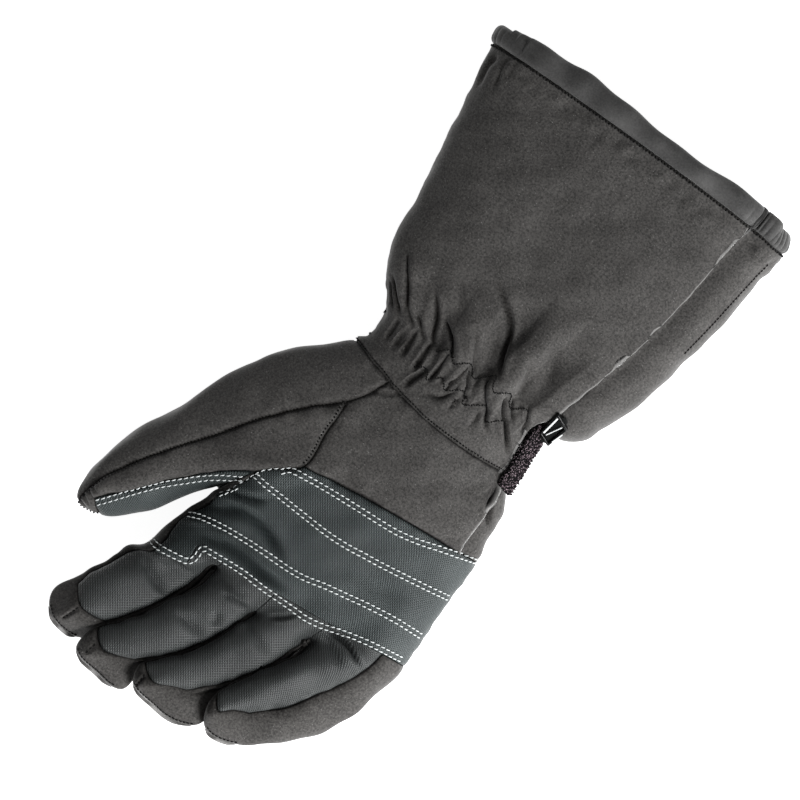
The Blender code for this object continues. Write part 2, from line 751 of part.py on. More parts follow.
def mouth_loop(shell):
    """Points round the open mouth, in order, each with its way out of the cuff."""
    start = next(edge for edge in shell.edges if edge.is_boundary)
    vert = start.verts[0]
    edge = start
    found = []
    while True:
        inside = [link for link in vert.link_edges if not link.is_boundary]
        out = (vert.co - inside[0].other_vert(vert).co).normalized()
        found.append((vert.co.copy(), out, vert.normal.copy()))
        vert = edge.other_vert(vert)
        edge = next(link for link in vert.link_edges if link.is_boundary and link != edge)
        if vert == start.verts[0]:
            return found


def hem_object(shell):
    """The rolled hem that finishes the mouth: a closed ring just past the panels' edge."""
    bm = bmesh.new()
    rings = []
    for point, out, normal in mouth_loop(shell):
        centre = point - normal * SHELL_WALL / 2 + out * (SEAM_GAP + HEM_WIDTH / 2)
        ring = []
        for step in range(HEM_SIDES):
            angle = 2 * math.pi * (step + 0.5) / HEM_SIDES
            wide = math.copysign(abs(math.cos(angle)) ** HEM_SQUARENESS, math.cos(angle)) * HEM_WIDTH / 2
            high = math.sin(angle) * HEM_THICKNESS / 2
            place = centre + out * wide + normal * high
            place.z = max(place.z, 0.0)
            ring.append(bm.verts.new(place))
        rings.append(ring)
    for here, ring in enumerate(rings):
        following = rings[(here + 1) % len(rings)]
        for step in range(HEM_SIDES):
            after = (step + 1) % HEM_SIDES
            bm.faces.new([ring[step], ring[after], following[after], following[step]])
    bmesh.ops.recalc_face_normals(bm, faces=bm.faces)
    mesh = bpy.data.meshes.new("cuff_hem")
    bm.to_mesh(mesh)
    bm.free()
    mesh.materials.append(material("cuff_hem", HEM_CLOTH, 0.85))
    mesh.shade_smooth()
    parts.objects.link(bpy.data.objects.new("cuff_hem", mesh))


def touch_from(tree, point, towards):
    """Where a line from outside first meets the shell."""
    hit = tree.ray_cast(point - towards * WRIST_WIDTH, towards, 3 * WRIST_WIDTH)
    return hit[0]


def strap_object(tree):
    """The knitted strap that lies along the little-finger side of the gathered wrist."""
    bm = bmesh.new()
    start = STRAP_LENGTH * STRAP_START - PALM_CENTRE
    rows = []
    for step in range(STRAP_STEPS + 1):
        y = start - STRAP_LENGTH * step / STRAP_STEPS
        ends = [first + (last - first) * step / STRAP_STEPS for first, last in zip(*STRAP_ENDS)]
        lower = Vector((WRIST_WIDTH / 2 * ends[0], y, WRIST_THICKNESS * ends[1]))
        upper = Vector((WRIST_WIDTH / 2 * ends[2], y, WRIST_THICKNESS * ends[3]))
        rows.append([lower.lerp(upper, band / STRAP_BANDS) for band in range(STRAP_BANDS + 1)])
    touches = [[touch_from(tree, point, Vector((1, 0, 0))) for point in row] for row in rows]
    verts = []
    for step, row in enumerate(rows):
        near = (touches[max(step - 1, 0)], touches[step], touches[min(step + 1, STRAP_STEPS)])
        made = []
        for band, point in enumerate(row):
            out = min([point.x] + [other[band].x - FIT_GAP for other in near if other[band]])
            made.append(bm.verts.new((out, point.y, point.z)))
        verts.append(made)
    for lower, upper in zip(verts, verts[1:]):
        for band in range(STRAP_BANDS):
            bm.faces.new([lower[band], upper[band], upper[band + 1], lower[band + 1]])
    bm.normal_update()
    if sum(face.normal.x for face in bm.faces) > 0:
        bmesh.ops.reverse_faces(bm, faces=bm.faces)
    mesh = bpy.data.meshes.new("wrist_strap")
    bm.to_mesh(mesh)
    bm.free()
    mesh.materials.append(material("wrist_strap", KNIT, 0.95))
    strap = bpy.data.objects.new("wrist_strap", mesh)
    parts.objects.link(strap)
    wall = strap.modifiers.new("thickness", "SOLIDIFY")
    wall.thickness = STRAP_THICKNESS
    wall.offset = 1.0
    edge = strap.modifiers.new("soft edge", "BEVEL")
    edge.width = STRAP_THICKNESS * STRAP_EDGE
    edge.segments = 1
    return start - STRAP_LENGTH


def box_mesh(name, length, width, height, taper=1.0):
    """A block along X, narrower by the taper at its -X end."""
    bm = bmesh.new()
    bmesh.ops.create_cube(bm, size=1.0)
    for vert in bm.verts:
        share = taper if vert.co.x < 0 else 1.0
        vert.co = Vector((vert.co.x * length, vert.co.y * width * share, vert.co.z * height))
    mesh = bpy.data.meshes.new(name)
    bm.to_mesh(mesh)
    bm.free()
    return mesh


def buckle_object(tree, strap_end):
    """The ladder buckle at the strap's end, lying on the side of the cuff."""
    tilt = math.radians(BUCKLE_TILT)
    normal = Vector((-math.cos(tilt), 0, math.sin(tilt)))
    centre_y = strap_end - FIT_GAP - BUCKLE_LENGTH / 2
    across = Vector((-math.sin(tilt), 0, -math.cos(tilt)))
    middle = Vector((-WRIST_WIDTH / 2 * BUCKLE_ACROSS, centre_y, WRIST_THICKNESS * BUCKLE_HEIGHT))
    heights = []
    for along in (-0.5, -0.25, 0.0, 0.25, 0.5):
        for aside in (-0.5, -0.25, 0.0, 0.25, 0.5):
            point = middle + Vector((0, along * BUCKLE_LENGTH, 0)) + across * aside * BUCKLE_WIDTH
            hit = touch_from(tree, point, -normal)
            if hit is not None:
                heights.append((hit - middle).dot(normal))
    centre = middle + normal * (max(heights) + FIT_GAP + BUCKLE_THICKNESS / 2)
    place = Matrix((Vector((0, -1, 0)), across, normal)).transposed().to_4x4()
    place.translation = centre

    mesh = box_mesh("strap_buckle", BUCKLE_LENGTH, BUCKLE_WIDTH, BUCKLE_THICKNESS, BUCKLE_TAPER)
    mesh.materials.append(material("strap_buckle", PLASTIC, 0.25))
    buckle = bpy.data.objects.new("strap_buckle", mesh)
    parts.objects.link(buckle)
    buckle.matrix_world = place
    edge = buckle.modifiers.new("edge", "BEVEL")
    edge.width = BUCKLE_THICKNESS * BUCKLE_EDGE
    edge.segments = 2
    for number, share in enumerate(SLOT_SHARES):
        name = "buckle_slot_" + str(number)
        block = box_mesh(name, BUCKLE_SLOT, BUCKLE_WIDTH * SLOT_SPAN, BUCKLE_THICKNESS * 3)
        cutter = bpy.data.objects.new(name, block)
        guides.objects.link(cutter)
        cutter.hide_render = True
        cutter.display_type = "WIRE"
        cutter.matrix_world = place @ Matrix.Translation((BUCKLE_LENGTH * share, 0, 0))
        cut = buckle.modifiers.new("slot " + str(number), "BOOLEAN")
        cut.object = cutter
        cut.operation = "DIFFERENCE"


for old in list(bpy.data.objects):
    bpy.data.objects.remove(old, do_unlink=True)
parts = bpy.data.collections.new("motorcycle_glove")
guides = bpy.data.collections.new("guides")
bpy.context.scene.collection.children.link(parts)
bpy.context.scene.collection.children.link(guides)

for panel_name, panel_colour in PANELS.items():
    material(panel_name, panel_colour, 0.9 if panel_colour == SOFTSHELL else 0.7)

glove_cage = Cage()
build_hand(glove_cage)
build_thumb(glove_cage)
for finger_place, finger_name in enumerate(FINGERS):
    build_finger(glove_cage, finger_name, finger_place)
fit_to_limit(glove_cage)
for cage_point in glove_cage.points:
    cage_point.y -= PALM_CENTRE
glove_shell = smooth_shell(glove_cage)
gather(glove_shell)
for panel_number, panel_name in enumerate(PANEL_NAMES):
    panel_object(glove_shell, panel_number, panel_name)
hem_object(glove_shell)
shell_tree = BVHTree.FromBMesh(glove_shell)
strap_far_end = strap_object(shell_tree)
buckle_object(shell_tree, strap_far_end)
glove_shell.free()
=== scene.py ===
# Motorcycle glove: the looks of the right-hand winter gauntlet, laid palm up.

import math

import bpy
import numpy as np
from mathutils import Matrix, Vector
from mathutils.bvhtree import BVHTree
from mathutils.kdtree import KDTree


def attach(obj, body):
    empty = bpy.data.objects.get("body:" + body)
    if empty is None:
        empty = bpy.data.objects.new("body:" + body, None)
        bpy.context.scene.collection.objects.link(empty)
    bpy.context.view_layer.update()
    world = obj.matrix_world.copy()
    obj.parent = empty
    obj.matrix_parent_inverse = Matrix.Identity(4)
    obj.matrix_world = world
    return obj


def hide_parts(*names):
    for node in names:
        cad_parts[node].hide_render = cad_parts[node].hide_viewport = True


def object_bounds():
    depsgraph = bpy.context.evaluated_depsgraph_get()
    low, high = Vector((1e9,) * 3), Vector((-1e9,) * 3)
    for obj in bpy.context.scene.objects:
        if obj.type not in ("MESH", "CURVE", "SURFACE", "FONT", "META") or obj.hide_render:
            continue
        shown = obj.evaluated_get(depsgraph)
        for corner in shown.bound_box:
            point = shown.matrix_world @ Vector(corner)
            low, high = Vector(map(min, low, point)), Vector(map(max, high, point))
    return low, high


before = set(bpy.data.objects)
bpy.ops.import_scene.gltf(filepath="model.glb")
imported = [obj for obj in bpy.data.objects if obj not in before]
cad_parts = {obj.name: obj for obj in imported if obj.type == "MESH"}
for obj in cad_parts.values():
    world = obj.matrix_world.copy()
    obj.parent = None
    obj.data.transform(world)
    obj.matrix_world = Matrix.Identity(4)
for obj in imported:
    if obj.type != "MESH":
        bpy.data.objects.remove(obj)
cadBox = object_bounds()
print("glove: frame loaded, box", [round(side, 4) for side in cadBox[1] - cadBox[0]])

# Where a pixel of the photograph lies on the glove: x and y in metres
photo = {
    "pixel": 0.0005,
    "wristU": 434.0,
    "wristV": 407.0,
    "wristY": -0.0648,
}


def fromPhoto(u, v):
    slant = photo["pixel"] * math.sqrt(0.5)
    aside = (u - photo["wristU"]) * slant
    down = (v - photo["wristV"]) * slant
    return Vector((-(aside + down), down - aside + photo["wristY"]))


# The cage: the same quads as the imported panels, along the real seams
cuff = {
    "length": 0.163,
    "mouthWidth": 0.176,
    "mouthThickness": 0.054,
    "wristWidth": 0.103,
    "wristThickness": 0.043,
    "edgeShare": 0.93,
    "borderShare": 0.47,
    "sideShare": 0.70,
    "rows": [
        # downThumb, downLittle, downMiddle, flareThumb, flareLittle, deep, low, seam
        (0.915, 1.085, 0.010, 0.740, 0.245, 1.00, -0.03, 0.780),
        (0.770, 0.910, 0.005, 0.645, 0.272, 1.02, -0.03, 0.763),
        (0.590, 0.680, 0.000, 0.502, 0.300, 0.98, -0.03, 0.749),
        (0.405, 0.475, 0.000, 0.375, 0.300, 0.86, -0.03, 0.720),
        (0.255, 0.330, 0.005, 0.242, 0.230, 0.62, -0.02, 0.711),
        (0.165, 0.240, 0.012, 0.100, 0.120, 0.34, 0.01, 0.766),
        (0.095, 0.175, 0.014, -0.025, -0.030, 0.05, 0.05, 0.880),
        (0.018, 0.105, -0.002, -0.050, -0.020, -0.05, 0.06, 0.905),
        (-0.020, 0.010, -0.044, 0.005, 0.000, 0.00, 0.04, 0.960),
    ],
}
palm = {
    "length": 0.135,
    "width": 0.131,
    "thickness": 0.045,
    "centre": 0.48,
    "thumbFirst": 0.16,
    "rows": [
        # edgeX, edgeY, seamX, seamY, borderX, borderY, littleX, littleY, bow, side, top, low
        (0.514, 0.195, 0.244, 0.215, 0.244, 0.215, -0.478, 0.120, 0.010, 0.90, 0.99, 0.02),
        (0.577, 0.296, 0.353, 0.363, 0.214, 0.356, -0.508, 0.218, 0.000, 0.88, 1.00, -0.03),
        (0.612, 0.400, 0.443, 0.511, 0.183, 0.496, -0.538, 0.300, -0.010, 0.87, 0.98, -0.03),
        (0.654, 0.540, 0.508, 0.652, 0.298, 0.637, -0.565, 0.459, 0.050, 0.90, 0.95, -0.03),
    ],
    "reach": [
        # edgeX, edgeY, borderX, borderY, littleX, littleY, bow, side, top, low
        (0.380, 0.925, 0.360, 0.905, -0.595, 0.637, 0.000, 0.88, 0.91, -0.03),
        (0.395, 1.030, 0.370, 1.015, -0.618, 0.762, 0.000, 0.86, 0.86, -0.02),
    ],
    "web": (0.360, 0.790, 0.48),
    "crotch": [
        # x, y, top, low
        (0.364, 1.110, 0.76, 0.06),
        (0.245, 1.062, 0.79, 0.02),
        (0.154, 0.994, 0.66, 0.14),
        (0.040, 1.020, 0.81, 0.02),
        (-0.076, 1.006, 0.68, 0.14),
        (-0.186, 0.978, 0.83, 0.02),
        (-0.297, 0.928, 0.70, 0.14),
        (-0.412, 0.900, 0.84, 0.02),
        (-0.530, 0.870, 0.76, 0.06),
    ],
    "crotchEdges": [(0.405, 1.122, 0.40), (-0.626, 0.885, 0.42)],
    "crotchAhead": 0.018,
    "forkPlaces": (2, 4, 6),    # which of those points are forks between two fingers
}
fingerSize = {
    "length": 0.080,
    "thickness": 0.030,
    "lift": 0.008,
    "lean": 0.007,
    "floor": 0.40,
    "frontEdge": 0.62,
    "backEdge": 0.80,
    "frontEnd": 3,
    "rings": [
        # thick, lift, lean
        (1.00, 0.04, 0.55),
        (0.98, 0.16, 1.00),
        (0.94, 0.38, 1.00),
        (0.84, 0.66, 0.95),
        (0.56, 0.92, 0.75),
    ],
}
# Each ring: thumbAcross, thumbAlong, littleAcross, littleAlong, bow, thumbOut, littleOut
fingers = {
    "index": {
        "seat": (-0.05, 0.94),
        "tip": (0.172, 0.847),
        "rings": [
            (0.162, 0.179, -0.081, 0.039, 0.000, 0.170, 0.01),
            (0.188, 0.310, -0.060, 0.223, 0.000, 0.140, 0.02),
            (0.214, 0.460, -0.015, 0.423, 0.000, 0.140, 0.03),
            (0.218, 0.573, 0.047, 0.623, 0.069, 0.220, 0.01),
            (0.224, 0.747, 0.115, 0.787, 0.044, 0.300, 0.02),
        ],
    },
    "middle": {
        "seat": (0.02, 0.98),
        "tip": (0.205, 0.988),
        "rings": [
            (0.105, 0.155, -0.093, 0.149, 0.000, 0.010, 0.01),
            (0.144, 0.330, -0.070, 0.324, 0.000, 0.020, 0.01),
            (0.186, 0.549, -0.010, 0.534, 0.000, 0.020, 0.02),
            (0.266, 0.755, 0.079, 0.746, 0.086, 0.030, 0.04),
            (0.278, 0.918, 0.146, 0.928, 0.030, 0.080, 0.38),
        ],
    },
    "ring": {
        "seat": (0.06, 1.00),
        "tip": (0.198, 0.930),
        "rings": [
            (0.116, 0.166, -0.087, 0.116, 0.000, 0.010, 0.02),
            (0.137, 0.347, -0.050, 0.316, 0.000, 0.010, 0.02),
            (0.188, 0.566, 0.007, 0.528, 0.000, 0.020, 0.06),
            (0.267, 0.760, 0.083, 0.703, 0.078, 0.020, 0.36),
            (0.267, 0.880, 0.133, 0.868, 0.020, 0.020, 0.54),
        ],
    },
    "little": {
        "seat": (0.08, 1.04),
        "tip": (0.138, 0.911),
        "rings": [
            (0.103, 0.174, -0.091, 0.136, 0.000, 0.020, 0.46),
            (0.137, 0.349, -0.045, 0.302, 0.000, 0.020, 0.56),
            (0.181, 0.530, 0.002, 0.480, 0.000, 0.020, 0.50),
            (0.215, 0.699, 0.077, 0.649, 0.097, 0.030, 0.56),
            (0.203, 0.824, 0.096, 0.811, 0.031, 0.030, 0.30),
        ],
    },
}
thumb = {
    "length": 0.074,
    "width": 0.041,
    "thickness": 0.038,
    "lift": 0.007,
    "turn": 20.0,
    "outer": 0.08,
    "crown": 2.3,
    "rings": [
        # along, wide, thick, lift, slant, seam, grip
        (0.20, 1.04, 1.00, 0.10, -17.0, 0.42, 0.80),
        (0.48, 1.00, 0.90, 0.35, -15.0, 0.37, 0.71),
        (0.73, 0.76, 0.74, 0.65, -10.0, 0.31, 0.66),
        (0.885, 0.50, 0.52, 0.88, -8.0, 0.30, 0.62),
    ],
}
cloth = {
    "ring": 24,           # quads round the cuff
    "columns": 11,        # cage points across the palm
    "frontSteps": 8,      # steps from the thumb's border across the palm to the little-finger side
    "littlePlace": 11,    # where round the cuff its little-finger edge lies
    "wristRow": 8,        # rows of the cage, from the mouth to the forks of the fingers
    "joinRow": 9,
    "forkRow": 12,
    "dipRow": 14,
    "crotchRow": 15,
    "palmCrown": 2.6,
    "backCrown": 3.4,
    "fitRounds": 12,
    "fitStep": 0.9,
    "levels": 4,
    "smoothing": 4,
    "wall": 0.0022,
    "seamGap": 0.0001,
    "mitre": 0.35,        # holds back how far a sharp corner of a panel steps in
}

tiny = 1e-12    # lengths are held above this before they divide

panels = {
    "gauntlet_palm_panel": ("gauntletPalmCloth", "softshell"),
    "gauntlet_back_panel": ("gauntletBackCloth", "softshell"),
    "heel_panel": ("heelCloth", "softshell"),
    "palm_patch": ("palmPatchCloth", "woven_nylon"),
    "hand_back_panel": ("handBackCloth", "softshell"),
    "thumb_outer_panel": ("thumbOuterCloth", "softshell"),
    "thumb_front_panel": ("thumbFrontCloth", "softshell"),
    "thumb_grip_panel": ("thumbGripCloth", "woven_nylon"),
}
for finger in fingers:
    panels[finger + "_front_panel"] = (finger + "FrontCloth", "woven_nylon")
    panels[finger + "_side_panel"] = (finger + "SideCloth", "softshell")
    panels[finger + "_back_panel"] = (finger + "BackCloth", "softshell")
panelNames = list(panels)


def crown(share, power):
    return (1 - min(abs(share), 1.0) ** power) ** (1 / power)


def section(points, edge, little, top, low):
    middle = (edge + little) / 2
    half = (edge - little) / 2
    centre = (top + low) / 2
    upper = []
    lower = []
    for point in points:
        share = (point - middle).dot(half) / half.length_squared
        upper.append(Vector((*point, centre + (top - centre) * crown(share, cloth["palmCrown"]))))
        lower.append(Vector((*point, centre - (centre - low) * crown(share, cloth["backCrown"]))))
    return upper, lower, Vector((*little, centre)), Vector((*edge, centre))


def spread(start, end, steps, bow):
    points = []
    for step in range(steps + 1):
        share = step / steps
        point = start.lerp(end, share)
        point.y += bow * 4 * share * (1 - share)
        points.append(point)
    return points


def cuffRows():
    rows = []
    edgeShare, borderShare = cuff["edgeShare"], cuff["borderShare"]
    steps = cloth["frontSteps"] - 1
    for downThumb, downLittle, downMiddle, flareThumb, flareLittle, deep, low, seam in cuff["rows"]:
        grow = cuff["mouthWidth"] - cuff["wristWidth"]
        edge = Vector((cuff["wristWidth"] / 2 + grow * flareThumb, -cuff["length"] * downThumb))
        little = Vector((-cuff["wristWidth"] / 2 - grow * flareLittle, -cuff["length"] * downLittle))
        thickness = cuff["wristThickness"] + (cuff["mouthThickness"] - cuff["wristThickness"]) * deep
        floor = cuff["wristThickness"] * low
        centre = (edge + little) / 2
        half = (edge - little) / 2
        shares = [edgeShare, (edgeShare + borderShare) / 2]
        shares += [borderShare - (seam + borderShare) * step / steps for step in range(steps + 1)]
        shares.append(-seam - (1 - seam) * cuff["sideShare"])
        points = []
        for share in shares:
            point = centre + half * share
            point.y -= cuff["length"] * downMiddle * (1 - share * share)
            points.append(point)
        rows.append(section(points, edge, little, floor + thickness, floor))
    return rows


def handRows(table):
    # Rows across the hand: those of the palm have the thumb's seam as well, those beyond the fork don't
    rows = []
    size = Vector((palm["width"], palm["length"]))
    for row in palm[table]:
        bow, side, top, low = row[-4:]
        spots = [Vector(row[spot:spot + 2]) * size for spot in range(0, len(row) - 4, 2)]
        edge, *seam, border, little = spots
        last = border.lerp(little, (border.x - little.x * side) / (border.x - little.x))
        points = [edge.lerp(seam[0], palm["thumbFirst"])] + seam if seam else []
        points += spread(border, last, cloth["frontSteps"], bow * palm["length"])
        rows.append(section(points, edge, little, palm["thickness"] * top, palm["thickness"] * low))
    return rows


class Cage:
    # Named points, each with its place round the cuff and its row; the fingers' row is far past the folds
    def __init__(self):
        self.points = []
        self.index = {}
        self.faces = []
        self.panels = []
        self.around = []
        self.along = []

    def add(self, key, point, around=0.0, along=99.0):
        self.index[key] = len(self.points)
        self.points.append(Vector(point))
        self.around.append(around)
        self.along.append(along)

    def quad(self, keys, panel):
        corners = list(dict.fromkeys(self.index[key] for key in keys))
        if len(corners) > 2:
            self.faces.append(corners)
            self.panels.append(panelNames.index(panel))

    def band(self, lower, upper, panelAt, row):
        # The quads between two rings of points, each on the panel for its row and place
        for place in range(len(lower)):
            after = (place + 1) % len(lower)
            self.quad([lower[after], lower[place], upper[place], upper[after]], panelAt(row, place))


def ringKeys(row, columns):
    upper = [(row, "palm", column) for column in columns]
    lower = [(row, "back", column) for column in reversed(columns)]
    return upper + [(row, "little", 0)] + lower + [(row, "thumb", 0)]


def addRing(cage, row, columns, ring):
    upper, lower, sideLittle, sideThumb = ring
    for place, column in enumerate(columns):
        if row == cloth["joinRow"] and column == 1:
            continue
        cage.add((row, "palm", column), upper[place], column, row)
        cage.add((row, "back", column), lower[place], 2 * cloth["littlePlace"] - column, row)
    if row == cloth["joinRow"]:
        for layer in ("palm", "back"):
            cage.index[(row, layer, 1)] = cage.index[(row, layer, 2)]
    cage.add((row, "little", 0), sideLittle, cloth["littlePlace"], row)
    cage.add((row, "thumb", 0), sideThumb, cloth["ring"] - 1, row)


# Which panel each quad belongs to: places count from the thumb across the palm and back round the back
def handPanel(row, place):
    if row < cloth["wristRow"]:
        return "gauntlet_palm_panel" if place < 9 or place == cloth["ring"] - 1 else "gauntlet_back_panel"
    if place == 0 or place >= 21:
        return "thumb_outer_panel"
    if place == 1:
        return "thumb_outer_panel" if row == cloth["wristRow"] else "thumb_front_panel"
    if place <= 9:
        return "palm_patch" if row == cloth["forkRow"] - 1 else "heel_panel"
    if place == 10 and row == cloth["forkRow"] - 1:
        return "palm_patch"
    return "hand_back_panel"


def reachPanel(row, place):
    if place >= 18:
        return "index_side_panel"
    if place < 8:
        if row < cloth["dipRow"] or place == 0:
            return "palm_patch"
        return list(fingers)[place // 2] + "_front_panel"
    if place in (8, 9) and row == cloth["dipRow"]:
        return "little_side_panel"
    if place == 8:
        return "palm_patch"
    return "hand_back_panel"


def buildHand(cage):
    forkRow, crotchRow = cloth["forkRow"], cloth["crotchRow"]
    width, length, thickness = palm["width"], palm["length"], palm["thickness"]
    allColumns = list(range(cloth["columns"]))
    columns = allColumns[2:]
    for row, ring in enumerate(cuffRows() + handRows("rows")):
        addRing(cage, row, allColumns, ring)
    for row in range(forkRow):
        cage.band(ringKeys(row, allColumns), ringKeys(row + 1, allColumns), handPanel, row)

    webX, webY, webHigh = palm["web"]
    top, low = palm["rows"][-1][10:]
    high = thickness * (top + (low - top) * (1 - webHigh))
    cage.add("web", (width * webX, length * webY, high), 0, forkRow)
    for step, ring in enumerate(handRows("reach")):
        addRing(cage, forkRow + 1 + step, columns, ring)
    for place, (x, y, top, low) in enumerate(palm["crotch"]):
        column = columns[place]
        plan = (width * x, length * y)
        cage.add((crotchRow, "palm", column), (*plan, thickness * top), 0, crotchRow)
        cage.add((crotchRow, "back", column), (*plan, thickness * low), 0, crotchRow)
        if place in palm["forkPlaces"]:
            ahead = (plan[0], plan[1] + length * palm["crotchAhead"], thickness * (top + low) / 2)
            cage.add((crotchRow, "web", column), ahead, 0, crotchRow)
    for side, (x, y, high) in zip(("thumb", "little"), palm["crotchEdges"]):
        cage.add((crotchRow, side, 0), (width * x, length * y, thickness * high), 0, crotchRow)

    for row in range(forkRow, crotchRow):
        lower = ringKeys(row, columns)
        if row == forkRow:
            lower[-1] = "web"
        cage.band(lower, ringKeys(row + 1, columns), reachPanel, row)


def addTube(cage, name, base, rings, panelAt, tip, tipPanels):
    lower = base
    for step, points in enumerate(rings):
        upper = [(name, step, place) for place in range(len(base))]
        for key, point in zip(upper, points):
            cage.add(key, point)
        cage.band(lower, upper, panelAt, step)
        lower = upper
    cage.add((name, "tip"), tip)
    middle = (name, "tip")
    cage.quad([lower[1], lower[0], lower[7], middle], tipPanels[0])
    cage.quad([lower[2], lower[1], middle, lower[3]], tipPanels[1])
    cage.quad([lower[5], lower[4], lower[3], middle], tipPanels[2])
    cage.quad([lower[6], lower[5], middle, lower[7]], tipPanels[3])


def buildThumb(cage):
    forkRow = cloth["forkRow"]
    base = [(forkRow, "palm", column) for column in range(3)] + ["web"]
    base += [(forkRow, "back", column) for column in (2, 1, 0)] + [(forkRow, "thumb", 0)]
    root = (cage.points[cage.index[base[7]]] + cage.points[cage.index["web"]]) / 2
    turn = math.radians(thumb["turn"])
    ahead = Vector((math.sin(turn), math.cos(turn), 0)) * thumb["length"]
    outer = thumb["outer"]
    rings = []
    for along, wide, thick, lift, slant, seam, grip in thumb["rings"]:
        centre = root + ahead * along
        centre.z = root.z + thumb["lift"] * lift
        angle = math.pi - turn + math.radians(slant)
        inward = Vector((math.cos(angle), math.sin(angle), 0)) * thumb["width"] * wide
        up = Vector((0, 0, thumb["thickness"] * thick / 2))
        points = []
        for share in (outer, seam, grip):
            points.append(centre + inward * (share - 0.5) + up * crown(2 * share - 1, thumb["crown"]))
        points.append(centre + inward / 2)
        for share in (grip, 0.5, outer):
            points.append(centre + inward * (share - 0.5) - up * crown(2 * share - 1, thumb["crown"]))
        points.append(centre - inward / 2)
        rings.append(points)
    tip = root + ahead
    tip.z = root.z + thumb["lift"]

    def panelAt(step, place):
        if place in (2, 3):
            return "thumb_grip_panel"
        return "thumb_front_panel" if place == 1 else "thumb_outer_panel"

    side = "thumb_outer_panel"
    addTube(cage, "thumb", base, rings, panelAt, tip, [side, "thumb_front_panel", side, side])


def buildFinger(cage, name, place):
    table = fingers[name]
    height, full = table["seat"]
    thickness = fingerSize["thickness"]
    frontEdge, backEdge = fingerSize["frontEdge"], fingerSize["backEdge"]
    row = cloth["crotchRow"]
    first = 2 + 2 * place
    columns = (first, first + 1, first + 2)
    thumbSide = (row, "thumb", 0) if place == 0 else (row, "web", first)
    littleSide = (row, "little", 0) if place == 3 else (row, "web", first + 2)
    base = [(row, "palm", column) for column in columns] + [littleSide]
    base += [(row, "back", column) for column in reversed(columns)] + [thumbSide]
    root = sum((cage.points[cage.index[key]].xy for key in base[:3]), Vector((0, 0))) / 3
    scale = Vector((palm["width"], fingerSize["length"]))
    floor = palm["thickness"] * fingerSize["floor"] + thickness * height
    rings = []
    for ring, (thick, lift, lean) in zip(table["rings"], fingerSize["rings"]):
        thumbPoint = root + Vector(ring[0:2]) * scale
        littlePoint = root + Vector(ring[2:4]) * scale
        bow, thumbOut, littleOut = ring[4:]
        middle = (thumbPoint + littlePoint) / 2
        across = (thumbPoint - littlePoint).normalized()
        spots = [
            (thumbPoint, frontEdge),
            (middle + Vector((0, fingerSize["length"] * bow)), 1.0),
            (littlePoint, frontEdge),
            (littlePoint - across * thickness * littleOut, 0.0),
            (littlePoint, -backEdge),
            (middle, -1.0),
            (thumbPoint, -backEdge),
            (thumbPoint + across * thickness * thumbOut, 0.0),
        ]
        points = []
        for plan, level in spots:
            plan = plan + across * fingerSize["lean"] * lean * (level - frontEdge)
            high = floor + fingerSize["lift"] * lift + thickness * full * thick / 2 * level
            points.append(Vector((plan.x, plan.y, high)))
        rings.append(points)
    tip = root + Vector(table["tip"]) * scale
    centre = Vector((0, palm["length"] * palm["centre"]))
    table["line"] = (tuple(root - centre), tuple(Vector(tip[:2]) - centre))
    table["valleyEnd"] = root.y + scale.y * table["rings"][fingerSize["frontEnd"]][3] - centre.y
    tip = Vector((tip.x, tip.y, floor + fingerSize["lift"]))

    def panelAt(step, spot):
        if spot in (4, 5):
            return name + "_back_panel"
        if spot in (0, 1) and step <= fingerSize["frontEnd"]:
            return name + "_front_panel"
        return name + "_side_panel"

    addTube(cage, name, base, rings, panelAt, tip, [name + "_side_panel"] * 4)


def limitPoints(cage, facesAt, endsAt, rimsAt):
    # Where each cage point ends up on the smooth surface, by the subdivision's own rule
    points = cage.points
    middles = [sum((points[corner] for corner in face), Vector()) / len(face) for face in cage.faces]
    limits = []
    for here, point in enumerate(points):
        if rimsAt[here]:
            limits.append((point * 4 + sum((points[other] for other in rimsAt[here]), Vector())) / 6)
            continue
        size = len(endsAt[here])
        around = sum((middles[face] for face in facesAt[here]), Vector()) / size
        halves = Vector()
        thirds = Vector()
        for other, pair in endsAt[here].items():
            halves += (point + points[other]) / 2
            thirds += (point + points[other] + middles[pair[0]] + middles[pair[1]]) / 4
        moved = (around + halves * 2 / size + point * (size - 3)) / size
        limits.append((moved * size * size + thirds * 4 + around * size) / (size * (size + 5)))
    return limits


def fitToLimit(cage):
    # Moves the cage outwards until the smooth surface runs through the sizes given above
    count = len(cage.points)
    endsAt = [{} for _ in range(count)]
    facesAt = [[] for _ in range(count)]
    for number, face in enumerate(cage.faces):
        for spot, here in enumerate(face):
            facesAt[here].append(number)
            for other in (face[spot - 1], face[(spot + 1) % len(face)]):
                endsAt[here].setdefault(other, []).append(number)
    rimsAt = [[other for other, pair in ends.items() if len(pair) == 1] for ends in endsAt]
    wanted = [point.copy() for point in cage.points]
    for _ in range(cloth["fitRounds"]):
        limits = limitPoints(cage, facesAt, endsAt, rimsAt)
        for here in range(count):
            cage.points[here] += (wanted[here] - limits[here]) * cloth["fitStep"]


def pointValues(mesh, name, values):
    mesh.attributes.new(name, "FLOAT", "POINT").data.foreach_set("value", values)


